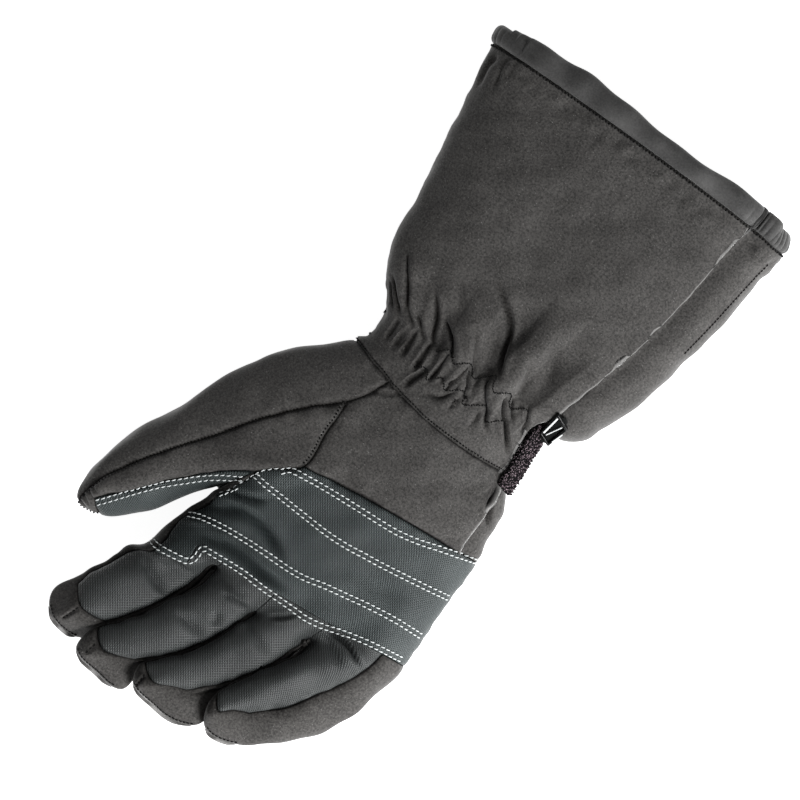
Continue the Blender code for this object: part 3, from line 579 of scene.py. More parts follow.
def smoothShell(cage):
    mesh = bpy.data.meshes.new("gloveCage")
    mesh.from_pydata([tuple(point) for point in cage.points], [], cage.faces)
    turn = [2 * math.pi * place / cloth["ring"] for place in cage.around]
    pointValues(mesh, "aroundCos", [math.cos(angle) for angle in turn])
    pointValues(mesh, "aroundSin", [math.sin(angle) for angle in turn])
    pointValues(mesh, "along", cage.along)
    for _ in panelNames:
        mesh.materials.append(None)    # an empty slot for each panel, so that its number stays on its quads
    mesh.polygons.foreach_set("material_index", cage.panels)
    guide = bpy.data.objects.new("gloveCage", mesh)
    bpy.context.scene.collection.objects.link(guide)
    smooth = guide.modifiers.new("smooth", "SUBSURF")
    smooth.levels = cloth["levels"]
    smooth.render_levels = cloth["levels"]
    smooth.quality = cloth["smoothing"]
    bpy.context.view_layer.update()
    graph = bpy.context.evaluated_depsgraph_get()
    made = bpy.data.meshes.new_from_object(guide.evaluated_get(graph))
    bpy.data.objects.remove(guide, do_unlink=True)
    return made


def readValues(items, name, count, kind=np.float32):
    values = np.zeros(count, kind)
    items.foreach_get(name, values)
    return values


def falloff(apart, reach, power=2):
    return np.exp(-(apart / reach) ** power)


def columnsApart(place, centre):
    # How far places round the cuff lie from one of them, the short way round
    return (place - centre + cloth["ring"] / 2) % cloth["ring"] - cloth["ring"] / 2


class Shell:
    # The smooth glove as arrays: points, quads, each quad's panel, and where each point is round the cuff
    def __init__(self, mesh):
        count = len(mesh.vertices)
        self.points = readValues(mesh.vertices, "co", 3 * count).reshape(-1, 3).astype(float)
        self.faces = readValues(mesh.loops, "vertex_index", len(mesh.loops), np.int32).reshape(-1, 4)
        self.panel = readValues(mesh.polygons, "material_index", len(mesh.polygons), np.int32)
        turn = np.arctan2(*(readValues(mesh.attributes[name].data, "value", count)
                            for name in ("aroundSin", "aroundCos")))
        self.place = turn * cloth["ring"] / (2 * math.pi) % cloth["ring"]
        self.along = readValues(mesh.attributes["along"].data, "value", count).astype(float)
        # painted shade and painted highlights of each point, carried into the cloth's colour
        self.paintedShade = np.zeros(count)
        self.paintedHighlight = np.zeros(count)
        self.findSeams()

    def findSeams(self):
        starts = self.faces.reshape(-1)
        ends = np.roll(self.faces, -1, axis=1).reshape(-1)
        owner = np.repeat(np.arange(len(self.faces)), 4)
        key = np.minimum(starts, ends).astype(np.int64) * len(self.points) + np.maximum(starts, ends)
        order = np.argsort(key, kind="stable")
        sortedKey = key[order]
        same = np.zeros(len(order), bool)
        same[:-1] = sortedKey[:-1] == sortedKey[1:]
        twin = np.full(len(order), -1)
        first = order[:-1][same[:-1]]
        second = order[1:][same[:-1]]
        twin[first] = second
        twin[second] = first
        beside = np.where(twin >= 0, self.panel[owner[twin]], -1)
        mine = self.panel[owner]
        border = beside != mine
        self.border = {
            "start": starts[border],
            "end": ends[border],
            "mine": mine[border],
            "beside": beside[border],
            "owner": owner[border],
        }
        woven = np.array([panels[node][1] == "woven_nylon" for node in panelNames])
        stitchedFlat = woven[mine] & woven[beside]
        self.seamPoints = np.unique(starts[border & (beside >= 0) & ~stitchedFlat])
        self.wovenSeams = np.unique(starts[border & (beside >= 0) & (woven[mine] != woven[beside])])
        self.mouthPoints = np.unique(starts[border & (beside < 0)])

    def seam(self, first, second):
        # The edges of the first panel that lie on the second
        here, there = panelNames.index(first), panelNames.index(second)
        return (self.border["mine"] == here) & (self.border["beside"] == there)

    def borderSides(self, own):
        # Those edges' two ends, and the way across each into its panel
        starts, ends, owners = [self.border[name][own] for name in ("start", "end", "owner")]
        side = np.cross(self.faceNormals()[owners], self.points[ends] - self.points[starts])
        side /= np.maximum(np.linalg.norm(side, axis=1, keepdims=True), tiny)
        return starts, ends, side

    def faceNormals(self):
        p = self.points[self.faces]
        return np.cross(p[:, 2] - p[:, 0], p[:, 3] - p[:, 1])

    def normals(self):
        cross = self.faceNormals()
        total = np.zeros_like(self.points)
        for corner in range(4):
            for axis in range(3):
                total[:, axis] += np.bincount(self.faces[:, corner], cross[:, axis], len(self.points))
        return total / np.maximum(np.linalg.norm(total, axis=1, keepdims=True), tiny)

    def push(self, move):
        # Moves the cloth out by these distances, and never below the floor
        self.points += self.normals() * move[:, None]
        self.points[:, 2] = np.maximum(self.points[:, 2], 0)

    # painted shade: the cloth's colour gets darker where it lies in shade
    def darken(self, values):
        self.paintedShade = np.maximum(self.paintedShade, values)

    def seamDistance(self, spots):
        tree = KDTree(len(spots))
        for number, spot in enumerate(spots):
            tree.insert(self.points[spot], number)
        tree.balance()
        return np.array([tree.find(point)[2] for point in self.points])


def smoothStep(low, high, value):
    share = np.clip((value - low) / (high - low), 0, 1)
    return share * share * (3 - 2 * share)


# Long folds of the cuff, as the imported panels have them
cuffFolds = {
    "depth": 0.0045,
    "fullness": 0.7,
    "rows": [
        # column, halfWidth, startRow, endRow, deep
        (0.4, 0.8, 6.4, 3.6, 0.50),
        (2.1, 0.7, 6.4, 4.2, -0.60),
        (3.6, 0.8, 6.6, 3.4, 0.70),
        (4.9, 0.8, 6.6, 3.0, -0.75),
        (6.2, 0.8, 6.6, 2.6, 1.00),
        (7.4, 0.8, 6.6, 3.0, -0.80),
        (12.6, 0.9, 6.4, 3.6, 0.60),
        (15.0, 0.9, 6.4, 3.2, -0.60),
        (17.5, 0.9, 6.4, 3.2, 0.60),
        (20.0, 0.9, 6.4, 3.6, -0.60),
    ],
}


def foldCuff(shell):
    move = np.zeros(len(shell.points))
    for column, halfWidth, start, end, deep in cuffFolds["rows"]:
        apart = columnsApart(shell.place, column)
        inside = (abs(apart) < halfWidth) & (shell.along > end) & (shell.along < start)
        share = np.clip((start - shell.along) / (start - end), 0, 1)
        rise = np.sin(math.pi * share) ** cuffFolds["fullness"] * (1 - (apart / halfWidth) ** 2)
        move += np.where(inside, cuffFolds["depth"] * deep * rise, 0)
    shell.push(move)


seamLook = {
    "depth": 0.0005,
    "reach": 0.0009,
    "puff": 0.0007,
    "puffReach": 0.0060,
    "step": 0.0036,       # how far the back lies below the palm's edge at the little-finger side
    "stepReach": 0.0078,
    "lip": 0.0007,        # roll of the palm's edge over that step
    "lipReach": 0.0011,
    "piping": 0.0008,     # roll of the fingers' side walls beside their front panels
    "pipingApart": 0.0012,
    "groove": 0.0011,     # the valley behind that roll
    "grooveApart": 0.0033,
    "dusk": 0.42,         # soft shade of the side walls below the front panels
    "duskReach": 0.0060,
    "plainShade": 0.58,   # how much painted shade the seams between two soft panels and those of the woven ones get
    "wovenShade": 0.85,
    "stepShade": 0.80,
    "shade": 0.00040,     # how far a seam's shade reaches
    "paintedHighlight": 0.0006,       # width of the painted highlight on the palm's edge beside the step
    "steps": [("gauntlet_palm_panel", "gauntlet_back_panel"), ("heel_panel", "hand_back_panel")],
    "pushedPanels": ("gauntlet_back_panel", "hand_back_panel", "thumb_outer_panel"),
    "pushes": [
        # pixel, reach and push: the first three bring two fingers together where they fork
        ((307, 641), 0.0075, 0.0016),
        ((222, 612), 0.0050, 0.0006),
        ((250, 614), 0.0050, 0.0006),
        # fuller little finger, flare and heel
        ((298, 737), 0.0160, 0.0028),
        ((575, 440), 0.0100, 0.0028),
        ((504, 505), 0.0085, 0.0026),
        ((770, 264), 0.0080, 0.0024),
        # the thumb's back
        ((272, 353), 0.0120, -0.0014),
        ((318, 345), 0.0120, -0.0018),
        ((356, 338), 0.0100, -0.0014),
    ],
    "mouthShade": (0.45, 0.0009),    # shade beside the hem and how far it reaches
    "hollows": [
        # pixel, reach and shade of the hollows that get little light
        ((205, 512), 0.022, 0.42),
        ((232, 548), 0.018, 0.22),
    ],
}


def panelMask(shell, *nodes):
    mask = np.zeros(len(shell.points), bool)
    for node in nodes:
        mask[np.unique(shell.faces[shell.panel == panelNames.index(node)])] = True
    return mask


def planDistance(shell, pixel):
    return np.linalg.norm(shell.points[:, :2] - np.array(fromPhoto(*pixel)), axis=1)


def stepDown(shell, move):
    # At the little-finger side the back lies lower, and the palm's edge rolls over it; that edge gets a
    # painted highlight and the back below it painted shade
    for upper, lower in seamLook["steps"]:
        spots = np.unique(shell.border["start"][shell.seam(upper, lower)])
        near = shell.seamDistance(spots[shell.points[spots, 0] < 0])
        below = panelMask(shell, lower) & ~panelMask(shell, upper)
        move -= np.where(below, seamLook["step"] * falloff(near, seamLook["stepReach"]), 0)
        move += np.where(below, 0, seamLook["lip"] * falloff(near, seamLook["lipReach"]))
        # painted highlight along the palm's edge, painted shade on the back below it
        shell.paintedHighlight = np.maximum(shell.paintedHighlight, np.where(below, 0, falloff(near, seamLook["paintedHighlight"])))
        shell.darken(np.where(below, seamLook["stepShade"] * falloff(near, seamLook["reach"]), 0))


def rollFingers(shell, move):
    # The side walls of the fingers: in shade, with a roll and a valley in the gap between two fingers
    for finger, table in fingers.items():
        front = panelMask(shell, finger + "_front_panel")
        side = panelMask(shell, finger + "_side_panel") & ~front
        seam = shell.seam(finger + "_front_panel", finger + "_side_panel")
        near = shell.seamDistance(np.unique(shell.border["start"][seam]))
        roll = falloff(near - seamLook["pipingApart"], seamLook["pipingApart"])
        groove = falloff(near - seamLook["grooveApart"], seamLook["pipingApart"])
        (rootX, rootY), (tipX, tipY) = table["line"]
        x, y = shell.points[:, 0], shell.points[:, 1]
        littleSide = (tipX - rootX) * (y - rootY) - (tipY - rootY) * (x - rootX) > 0
        inner = side & (y < table["valleyEnd"]) & littleSide & (finger != "little")
        # painted shade on the side walls and in the valley between two fingers
        shell.darken(np.where(side, seamLook["dusk"] * falloff(near, seamLook["duskReach"]), 0))
        strip = np.where(inner, seamLook["piping"] * roll - seamLook["groove"] * groove, 0)
        move += spreadOut(shell, spreadOut(shell, strip))
        shell.darken(spreadOut(shell, np.where(inner, groove, 0)))


def pressSeams(shell):
    apart = shell.seamDistance(shell.seamPoints)
    shell.seamApart = apart
    shell.mouthApart = shell.seamDistance(shell.mouthPoints)
    woven = shell.seamDistance(shell.wovenSeams)
    # painted shade along the seams and beside the hem
    shell.darken(seamLook["plainShade"] * falloff(apart, seamLook["shade"]))
    shell.darken(seamLook["wovenShade"] * falloff(woven, seamLook["shade"]))
    dark, reach = seamLook["mouthShade"]
    shell.darken(dark * falloff(shell.mouthApart, reach))
    sink = seamLook["depth"] * falloff(apart, seamLook["reach"])
    puffed = apart / seamLook["puffReach"]
    rise = seamLook["puff"] * puffed * np.exp(1 - puffed)
    move = rise - sink
    stepDown(shell, move)
    rollFingers(shell, move)
    sides = [finger + "_side_panel" for finger in fingers]
    pushed = panelMask(shell, *sides, *seamLook["pushedPanels"])
    for pixel, reach, push in seamLook["pushes"]:
        move += np.where(pushed, push * falloff(planDistance(shell, pixel), reach, 4), 0)
    # painted shade in the hollows
    for pixel, reach, dusk in seamLook["hollows"]:
        shell.darken(dusk * falloff(planDistance(shell, pixel), reach))
    # no painted shade under the painted highlight
    shell.paintedShade *= 1 - shell.paintedHighlight
    shell.push(move)


# Creases and folds of the palm side, each along a few pixels of the photograph.
# deep and width in millimetres, below 0 for a ridge; ridge: share of the depth that stands up beside it;
# lean: which side it stands up on, from -1 to 1 for the right of the line
creases = {
    "fade": 0.30,
    "soften": 0.4,                # how much the cloth evens out sharp steps between two creases
    "dark": 0.0020,               # depth at which the bottom of a crease is in full shade
    "shade": 0.72,
    "sharp": 0.0014,              # width up to which a crease has its full shade
    "palmSide": (0.010, 0.022),   # heights between which a crease grows
    "facing": (-0.2, 0.3),        # and how far the cloth has to face up there
    "past": 0.05,                 # share of its length by which a crease runs on past its ends
    "reach": 5.0,                 # all in widths of the crease: how far it is worked out,
    "ridgeApart": 2.2,            # how far beside it the ridge stands
    "ridgeWidth": 1.4,
    "shadePower": 1.5,
    "rows": [
        # deep, width, ridge, lean, points
        # long folds from the gathers up into the cuff
        (2.3, 1.3, 0.80, 0.5, [(497, 386), (501, 367), (505.5, 352), (509, 337), (510, 324), (507, 309),
                               (501, 294), (492, 276)]),
        (1.5, 1.6, 0.55, 0.0, [(475, 380), (474, 362), (477.5, 346), (474, 328)]),
        (2.8, 1.2, 0.60, 0.3, [(455, 369), (453, 346), (450.5, 333), (444, 318)]),
        (2.6, 1.3, 0.55, 0.2, [(434.5, 354), (433.6, 337), (436.6, 324), (437.4, 306), (434, 288)]),
        (2.3, 1.2, 0.55, 0.0, [(426, 345), (421.5, 329), (417, 313)]),
        (1.7, 1.0, 0.55, 0.0, [(416, 331), (410, 318), (406, 304)]),
        (2.6, 1.2, 0.50, 0.2, [(406, 322), (407.5, 298), (408.3, 275), (409, 250)]),
        (2.3, 1.1, 0.50, 0.0, [(400, 320), (397, 300), (395, 274)]),
        (2.0, 1.0, 0.50, 0.0, [(394, 316), (392, 300), (391.5, 276)]),
        (1.2, 3.0, 0.40, 0.6, [(462, 268), (479.5, 297), (490, 318), (494, 340)]),
        (1.2, 3.0, 0.40, 0.0, [(546, 391), (553, 367), (557, 335)]),
        (1.4, 2.0, 0.40, 0.2, [(517, 402), (527, 382), (535, 360)]),
        (0.9, 2.5, 0.40, 0.0, [(455, 320), (462, 300), (460, 275)]),
        # between the two rows of shirring
        (2.6, 1.0, 0.70, 0.0, [(469, 368), (467, 381), (466.5, 390), (464, 394), (467, 399), (464, 409)]),
        (3.2, 1.1, 0.70, 0.0, [(494, 377), (487, 387), (485.6, 398), (487, 411), (485.6, 422), (489, 434)]),
        (2.9, 1.0, 0.70, -0.3, [(511, 394), (504, 402), (502.5, 413), (505.5, 425), (507, 441), (511, 461)]),
        (1.9, 0.9, 0.70, 0.0, [(514, 398), (511, 410), (513, 424)]),
        (2.0, 1.0, 0.70, 0.0, [(529, 406), (527, 424), (522, 438)]),
        (-1.7, 1.0, 0.30, 0.0, [(510, 436), (520.8, 427), (529, 418)]),
        (2.2, 1.0, 0.70, -0.2, [(428, 385), (440, 369), (453, 352)]),
        (2.5, 1.0, 0.70, -0.2, [(443, 395), (457, 380), (472, 364)]),
        (2.3, 1.1, 0.70, -0.2, [(413, 373), (424, 357), (435, 341)]),
        (1.8, 1.1, 0.70, -0.2, [(400, 359), (410, 344), (420, 330)]),
        (1.2, 0.9, 0.60, 0.0, [(384, 343), (393, 330), (401, 319)]),
        (1.2, 0.9, 0.60, 0.0, [(391, 351), (400, 339), (408, 329)]),
        # the puffs that the two rows of gathers leave between them
        (-1.5, 1.9, 0.00, 0.0, [(415, 366), (423, 356), (432, 346)]),
        (-1.6, 2.0, 0.00, 0.0, [(429, 378), (439, 367), (450, 356)]),
        (-1.6, 2.1, 0.00, 0.0, [(446, 389), (458, 378), (470, 367)]),
        (-1.4, 2.1, 0.00, 0.0, [(477, 386), (477, 396), (475, 406)]),
        (-1.5, 2.0, 0.00, 0.0, [(496, 396), (495, 408), (493, 420)]),
        (-1.4, 1.9, 0.00, 0.0, [(517, 414), (516, 424), (513, 434)]),
        (-1.2, 1.6, 0.00, 0.0, [(403, 351), (410, 341), (416, 332)]),
        (-1.2, 1.6, 0.00, 0.0, [(392, 343), (401, 334), (410, 326)]),
        # below the gathers, towards the wrist seam
        (1.6, 1.2, 0.50, 0.0, [(403, 389), (413, 381), (421.3, 376), (429, 369)]),
        (1.7, 1.4, 0.50, 0.0, [(424, 392), (434, 398), (443, 399), (458, 392)]),
        (1.2, 1.4, 0.50, 0.0, [(448, 412), (455, 404), (463, 398)]),
        (1.2, 1.6, 0.50, 0.0, [(470, 430), (476, 420), (484, 410)]),
        (1.3, 1.6, 0.50, 0.0, [(524, 447), (520, 456), (515, 468)]),
        # heel and the edge of the hand
        (0.9, 1.1, 0.40, 0.0, [(366, 390), (383.6, 394.3), (404, 396)]),
        (1.3, 3.5, 0.40, 0.0, [(340, 468), (360, 492), (385, 512)]),
        (-1.3, 4.5, 0.00, 0.0, [(478, 470), (484, 482), (486, 496)]),
        (2.0, 1.2, 0.50, 0.0, [(489, 532), (489, 516), (492, 504), (499, 493)]),
        # palm patch and the web of the thumb
        (2.4, 1.6, 0.80, -0.4, [(228, 491), (245.7, 499), (270, 504)]),
        (3.2, 2.3, 0.90, -0.6, [(203, 505), (224, 509), (243, 514.5), (263, 529.5), (277, 549), (287, 568)]),
        (2.6, 2.0, 0.90, -0.4, [(200, 532), (227, 546.5), (243, 558), (262, 575), (292, 594)]),
        (-1.2, 1.8, 0.40, 0.0, [(180, 522), (213.6, 525.7), (230, 535)]),
        (1.0, 4.0, 0.40, 0.0, [(330, 560), (370, 585), (405, 600)]),
        # fingers
        (1.7, 2.2, 0.55, -0.4, [(140, 558), (151.8, 574.4), (160.8, 588.5), (171, 597)]),
        (1.3, 1.3, 0.40, 0.0, [(152, 550), (171, 561.7), (194, 574)]),
        (1.6, 2.4, 0.55, -0.3, [(176, 613), (194, 628), (203, 641)]),
        (1.4, 1.5, 0.60, -0.5, [(222, 593), (236, 603), (250, 612)]),
        (1.3, 2.3, 0.50, 0.0, [(220, 612), (216, 628)]),
        (1.3, 2.4, 0.50, -0.4, [(213, 571), (219.4, 578), (236, 593.6), (252, 601)]),
        (1.3, 2.4, 0.50, -0.4, [(243, 620), (256, 637), (268, 657)]),
        (1.2, 1.0, 0.40, 0.0, [(268, 618), (285, 618), (300, 615)]),
        (2.2, 1.2, 0.60, -0.4, [(324, 629), (340, 639), (351, 650), (362, 671)]),
        (1.3, 2.4, 0.50, 0.3, [(323, 636), (336, 657), (343, 672)]),
        # seams and small gathers at the tips
        (1.3, 0.7, 0.50, 0.0, [(80.6, 609), (73, 614), (62, 622)]),
        (0.9, 0.7, 0.50, 0.0, [(97.8, 645), (91, 651.5), (86, 656.5)]),
        (1.3, 0.7, 0.50, 0.0, [(147.6, 675.7), (142, 682), (136, 690)]),
        (0.9, 0.6, 0.60, 0.0, [(93, 486), (96, 492), (101, 497)]),
        (0.9, 0.6, 0.60, 0.0, [(88, 490), (92, 497), (97, 502)]),
        (0.9, 0.6, 0.60, 0.0, [(83, 494), (87, 501), (91, 507)]),
        (0.9, 0.6, 0.60, 0.0, [(80, 500), (84, 506), (88, 510)]),
        # below the left end of the hem
        (1.2, 1.2, 0.40, 0.0, [(499, 56), (488, 72), (476, 92)]),
        (1.2, 1.2, 0.40, 0.0, [(512, 58), (502, 76), (492, 96)]),
        (0.9, 1.2, 0.40, 0.0, [(522, 60), (513, 73), (505, 86)]),
    ],
}


def alongLine(points, line):
    # Signed distance of each point from a line of plan points, and its share of the way along the line
    best = np.full(len(points), np.inf)
    signed = np.zeros(len(points))
    share = np.zeros(len(points))
    lengths = [math.dist(a, b) for a, b in zip(line, line[1:])]
    total = sum(lengths)
    done = 0.0
    for a, b, length in zip(line, line[1:], lengths):
        ahead = (np.array(b) - np.array(a)) / length
        offset = points - np.array(a)
        travel = offset @ ahead
        held = np.clip(travel, 0, length)
        apart = np.linalg.norm(offset - held[:, None] * ahead, axis=1)
        side = offset[:, 0] * ahead[1] - offset[:, 1] * ahead[0]
        closer = apart < best
        best = np.where(closer, apart, best)
        signed = np.where(closer, np.where(side < 0, -apart, apart), signed)
        share = np.where(closer, (done + travel) / total, share)
        done += length
    return signed, share


def smoothLine(points, steps):
    # A smooth line through a few points, as many steps to each stretch
    points = [np.array(point, float) for point in points]
    ends = [2 * points[0] - points[1]] + points + [2 * points[-1] - points[-2]]
    line = []
    for a, b, c, d in zip(ends, ends[1:], ends[2:], ends[3:]):
        for step in range(steps):
            t = step / steps
            line.append(0.5 * (2 * b + (c - a) * t + (2 * a - 5 * b + 4 * c - d) * t * t
                               + (3 * b - a - 3 * c + d) * t ** 3))
    return line + [points[-1]]


def spreadOut(shell, values):
    # Each value as the mean of the faces round its point
    face = values[shell.faces].mean(axis=1)
    total = np.zeros(len(shell.points))
    count = np.zeros(len(shell.points))
    for corner in range(4):
        total += np.bincount(shell.faces[:, corner], face, len(shell.points))
        count += np.bincount(shell.faces[:, corner], minlength=len(shell.points))
    return total / np.maximum(count, 1)


def pressCreases(shell):
    normals = shell.normals()
    plan = shell.points[:, :2]
    facing = smoothStep(*creases["palmSide"], shell.points[:, 2])
    facing = facing * smoothStep(*creases["facing"], normals[:, 2])
    valley = np.zeros(len(plan))
    ridges = np.zeros(len(plan))
    depth = np.zeros(len(plan))
    past, fade = creases["past"], creases["fade"]
    for deep, width, ridge, lean, pixels in creases["rows"]:
        line = [tuple(fromPhoto(u, v)) for u, v in smoothLine(pixels, 4)]
        deep, width = deep / 1000, width / 1000
        reach = creases["reach"] * width
        low, high = np.min(line, axis=0) - reach, np.max(line, axis=0) + reach
        near = np.nonzero(np.all((plan > low) & (plan < high), axis=1) & (facing > 0))[0]
        signed, share = alongLine(plan[near], line)
        ends = smoothStep(-past, fade, share) * smoothStep(1 + past, 1 - fade, share)
        ends *= facing[near]
        beside = falloff(abs(signed) - creases["ridgeApart"] * width, creases["ridgeWidth"] * width)
        beside *= 1 + lean * np.tanh(signed / width)
        ridges[near] = np.maximum(ridges[near], abs(deep) * ridge * beside * ends / 2)
        middle = abs(deep) * falloff(signed, width) * ends
        if deep > 0:
            valley[near] = np.maximum(valley[near], middle)
            depth[near] = np.maximum(depth[near], middle * min(1.0, creases["sharp"] / width))
        else:
            ridges[near] = np.maximum(ridges[near], middle)
    move = ridges - valley
    move += (spreadOut(shell, move) - move) * creases["soften"]
    shell.points += normals * move[:, None]
    # painted shade at the bottom of the creases
    shell.darken(creases["shade"] * np.clip(depth / creases["dark"], 0, 1) ** creases["shadePower"])


lumps = {
    "broad": (0.0007, 0.030),    # height and size of the soft unevenness of the cloth
    "small": (0.00022, 0.009),
    "pucker": (0.00022, 0.0042),
    "puckerReach": 0.0045,
    "hemPucker": (2.2, 0.012),   # how much stronger the puckers are below the hem, and how far they reach
    "hemClear": (0.0025, 0.0075),    # distances from the mouth between which they start
    "mouthClear": 0.004,
    "floorClear": 0.004,
    "waves": 24,
    "waveSpread": (0.7, 1.3),
    "seed": 7,
}


def waveNoise(points, size, draws):
    # A smooth random field with bumps of about the given size
    total = np.zeros(len(points))
    for _ in range(lumps["waves"]):
        way = draws.normal(size=3)
        way *= 2 * math.pi / (size * 2) / np.linalg.norm(way) * draws.uniform(*lumps["waveSpread"])
        total += np.cos(points @ way + draws.uniform(0, 2 * math.pi))
    return total / math.sqrt(lumps["waves"] / 2)


def addLumps(shell):
    draws = np.random.default_rng(lumps["seed"])
    broad, small, pucker = [height * waveNoise(shell.points, size, draws)
                            for height, size in (lumps["broad"], lumps["small"], lumps["pucker"])]
    nearSeam = falloff(shell.seamApart, lumps["puckerReach"])
    strength, reach = lumps["hemPucker"]
    nearHem = smoothStep(*lumps["hemClear"], shell.mouthApart) * falloff(shell.mouthApart, reach)
    awayFromMouth = smoothStep(0, lumps["mouthClear"], shell.mouthApart)
    nearSeam = np.maximum(nearSeam * awayFromMouth, strength * nearHem)
    move = broad + small + pucker * nearSeam
    shell.push(move * smoothStep(0, lumps["floorClear"], shell.points[:, 2]))


# Puckers round the back of the wrist, where the photograph doesn't reach
backGathers = {
    "depth": 0.0016,
    "rows": (3.9, 5.5, 7.3, 8.0),
    "places": (11.5, 12.5, 22.0, 23.5),
    "waves": 1.6,
    "sway": (0.35, 2.1),    # how far the puckers wander, and how fast along the cuff
    "sharpness": 0.8,
    "middle": 0.55,
}


def gatherBack(shell):
    start, full, fall, end = backGathers["rows"]
    window = smoothStep(start, full, shell.along) * smoothStep(end, fall, shell.along)
    first, second, third, last = backGathers["places"]
    window *= smoothStep(first, second, shell.place) * smoothStep(last, third, shell.place)
    far, fast = backGathers["sway"]
    sway = far * np.sin(fast * shell.along + shell.place)
    wave = np.abs(np.cos(math.pi * (shell.place * backGathers["waves"] + sway))) ** backGathers["sharpness"]
    shell.push(backGathers["depth"] * (wave - backGathers["middle"]) * window)


def meshObject(name, points, faces, material, smooth=True):
    mesh = bpy.data.meshes.new(name)
    mesh.from_pydata(points.tolist() if hasattr(points, "tolist") else points, [], faces)
    mesh.materials.append(material)
    if smooth:
        mesh.shade_smooth()
    made = bpy.data.objects.new(name, mesh)
    bpy.context.scene.collection.objects.link(made)
    return made


def turns(sides):
    return [2 * math.pi * step / sides for step in range(sides)]


def tubeFaces(rows, sides):
    # Quads of a tube of rings, with a cap at each end; in the same order for every tube
    faces = []
    for row in range(rows - 1):
        for step in range(sides):
            after = (step + 1) % sides
            faces.append([row * sides + step, row * sides + after,
                          (row + 1) * sides + after, (row + 1) * sides + step])
    faces.append(list(reversed(range(sides))))
    faces.append([(rows - 1) * sides + step for step in range(sides)])
    return faces


def signedVolume(points, faces):
    total = 0.0
    for face in faces:
        for second, third in zip(face[1:], face[2:]):
            total += float(np.dot(points[face[0]], np.cross(points[second], points[third])))
    return total / 6


def outward(points, faces):
    # The same faces, turned where they look inwards
    if signedVolume(points, faces) < 0:
        return [face[:1] + face[:0:-1] for face in faces]
    return faces


def squared(value, power):
    # A cosine or sine drawn towards 1, which makes a round section squarer
    return math.copysign(abs(value) ** power, value)


weaveLay = {
    "turn": 45.0,         # degrees between the threads and the glove's own axes
    "top": 0.040,         # height above which the cloth counts as flat
    "wrap": (-0.030, -0.060),    # x between which the little-finger side starts to be unrolled
}


def weavePlace(points, node):
    # Place of each point on the cloth as it lay flat: the sides are unrolled by their height
    unroll = 1.0 if node == "thumb_grip_panel" else smoothStep(*weaveLay["wrap"], points[:, 0])
    across = points[:, 0] - unroll * (weaveLay["top"] - points[:, 2])
    cosine, sine = math.cos(math.radians(weaveLay["turn"])), math.sin(math.radians(weaveLay["turn"]))
    return np.stack([across * cosine + points[:, 1] * sine, points[:, 1] * cosine - across * sine,
                     points[:, 2]], axis=1)


def panelCloth(shell, number, node, normals, materials):
    name, slot = panels[node]
    faces = shell.faces[shell.panel == number]
    used = np.unique(faces)
    local = np.full(len(shell.points), -1)
    local[used] = np.arange(len(used))
    own = shell.border["mine"] == number
    starts, ends, side = shell.borderSides(own)
    inset = shell.border["beside"][own] >= 0
    # every seam edge steps back a little, so that two panels don't meet
    inner = np.zeros_like(shell.points)
    for spots in (starts, ends):
        for axis in range(3):
            inner[:, axis] += np.bincount(spots[inset], side[inset, axis], len(shell.points))
    size = np.linalg.norm(inner, axis=1, keepdims=True)
    lean = np.maximum(size / 2, cloth["mitre"])
    inner = np.where(size > tiny, inner / np.maximum(size, tiny) * cloth["seamGap"] / 2 / lean, 0)
    outerPoints = (shell.points + inner)[used]
    innerPoints = outerPoints - normals[used] * cloth["wall"]
    count = len(used)
    outerFaces = local[faces]
    innerFaces = outerFaces[:, ::-1] + count
    a, b = local[starts], local[ends]
    rims = np.stack([b, a, a + count, b + count], axis=1)
    allPoints = np.concatenate([outerPoints, innerPoints])
    allFaces = np.concatenate([outerFaces, innerFaces, rims])
    made = meshObject(name, allPoints, allFaces.tolist(), materials[slot])
    for kind, values in (("paintedShade", shell.paintedShade), ("paintedHighlight", shell.paintedHighlight)):
        pointValues(made.data, kind, np.tile(values[used], 2).astype(np.float32))
    if slot == "woven_nylon":
        pointValues(made.data, "ribbed", np.full(2 * count, float("_front_" in node), np.float32))
        weave = made.data.attributes.new("weave", "FLOAT_VECTOR", "POINT")
        weave.data.foreach_set("vector", weavePlace(allPoints, node).astype(np.float32).ravel())
    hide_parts(node)
    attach(made, "root")
    return made


hem = {
    "width": 0.0100,
    "thickness": 0.0062,
    "sides": 24,
    "squareness": 0.75,
    "finer": 4,           # sections between two points of the cloth's edge
    "rib": 0.0010,
    "ribSharpness": 0.7,
    "ribMiddle": 0.6,
    "ribFade": 0.6,       # share of their reach over which the puckers are full
    "ribOut": 0.45,       # how much of a pucker goes on round the outer side
    "ribPitch": 0.0034,
    "ribSway": (0.006, 0.0011),                 # size and reach of the unevenness of the puckers
    "ribPlaces": ((22.6, 1.6), (10.3, 2.1)),    # where round the mouth, and over how many columns
    "bulge": 0.0005,
    "bulgeSize": 0.016,
    # place, reach and height along the outer edge
    "swells": ((2.0, 2.0, 0.0040), (7.8, 1.6, 0.0016), (9.4, 1.2, 0.0016)),
    "joint": (9.15, 0.0010, 0.0006),            # place, depth and width of the joint across the roll
    "stitchesInside": 0.0010,                   # how far inside the cloth's edge its stitches run
}


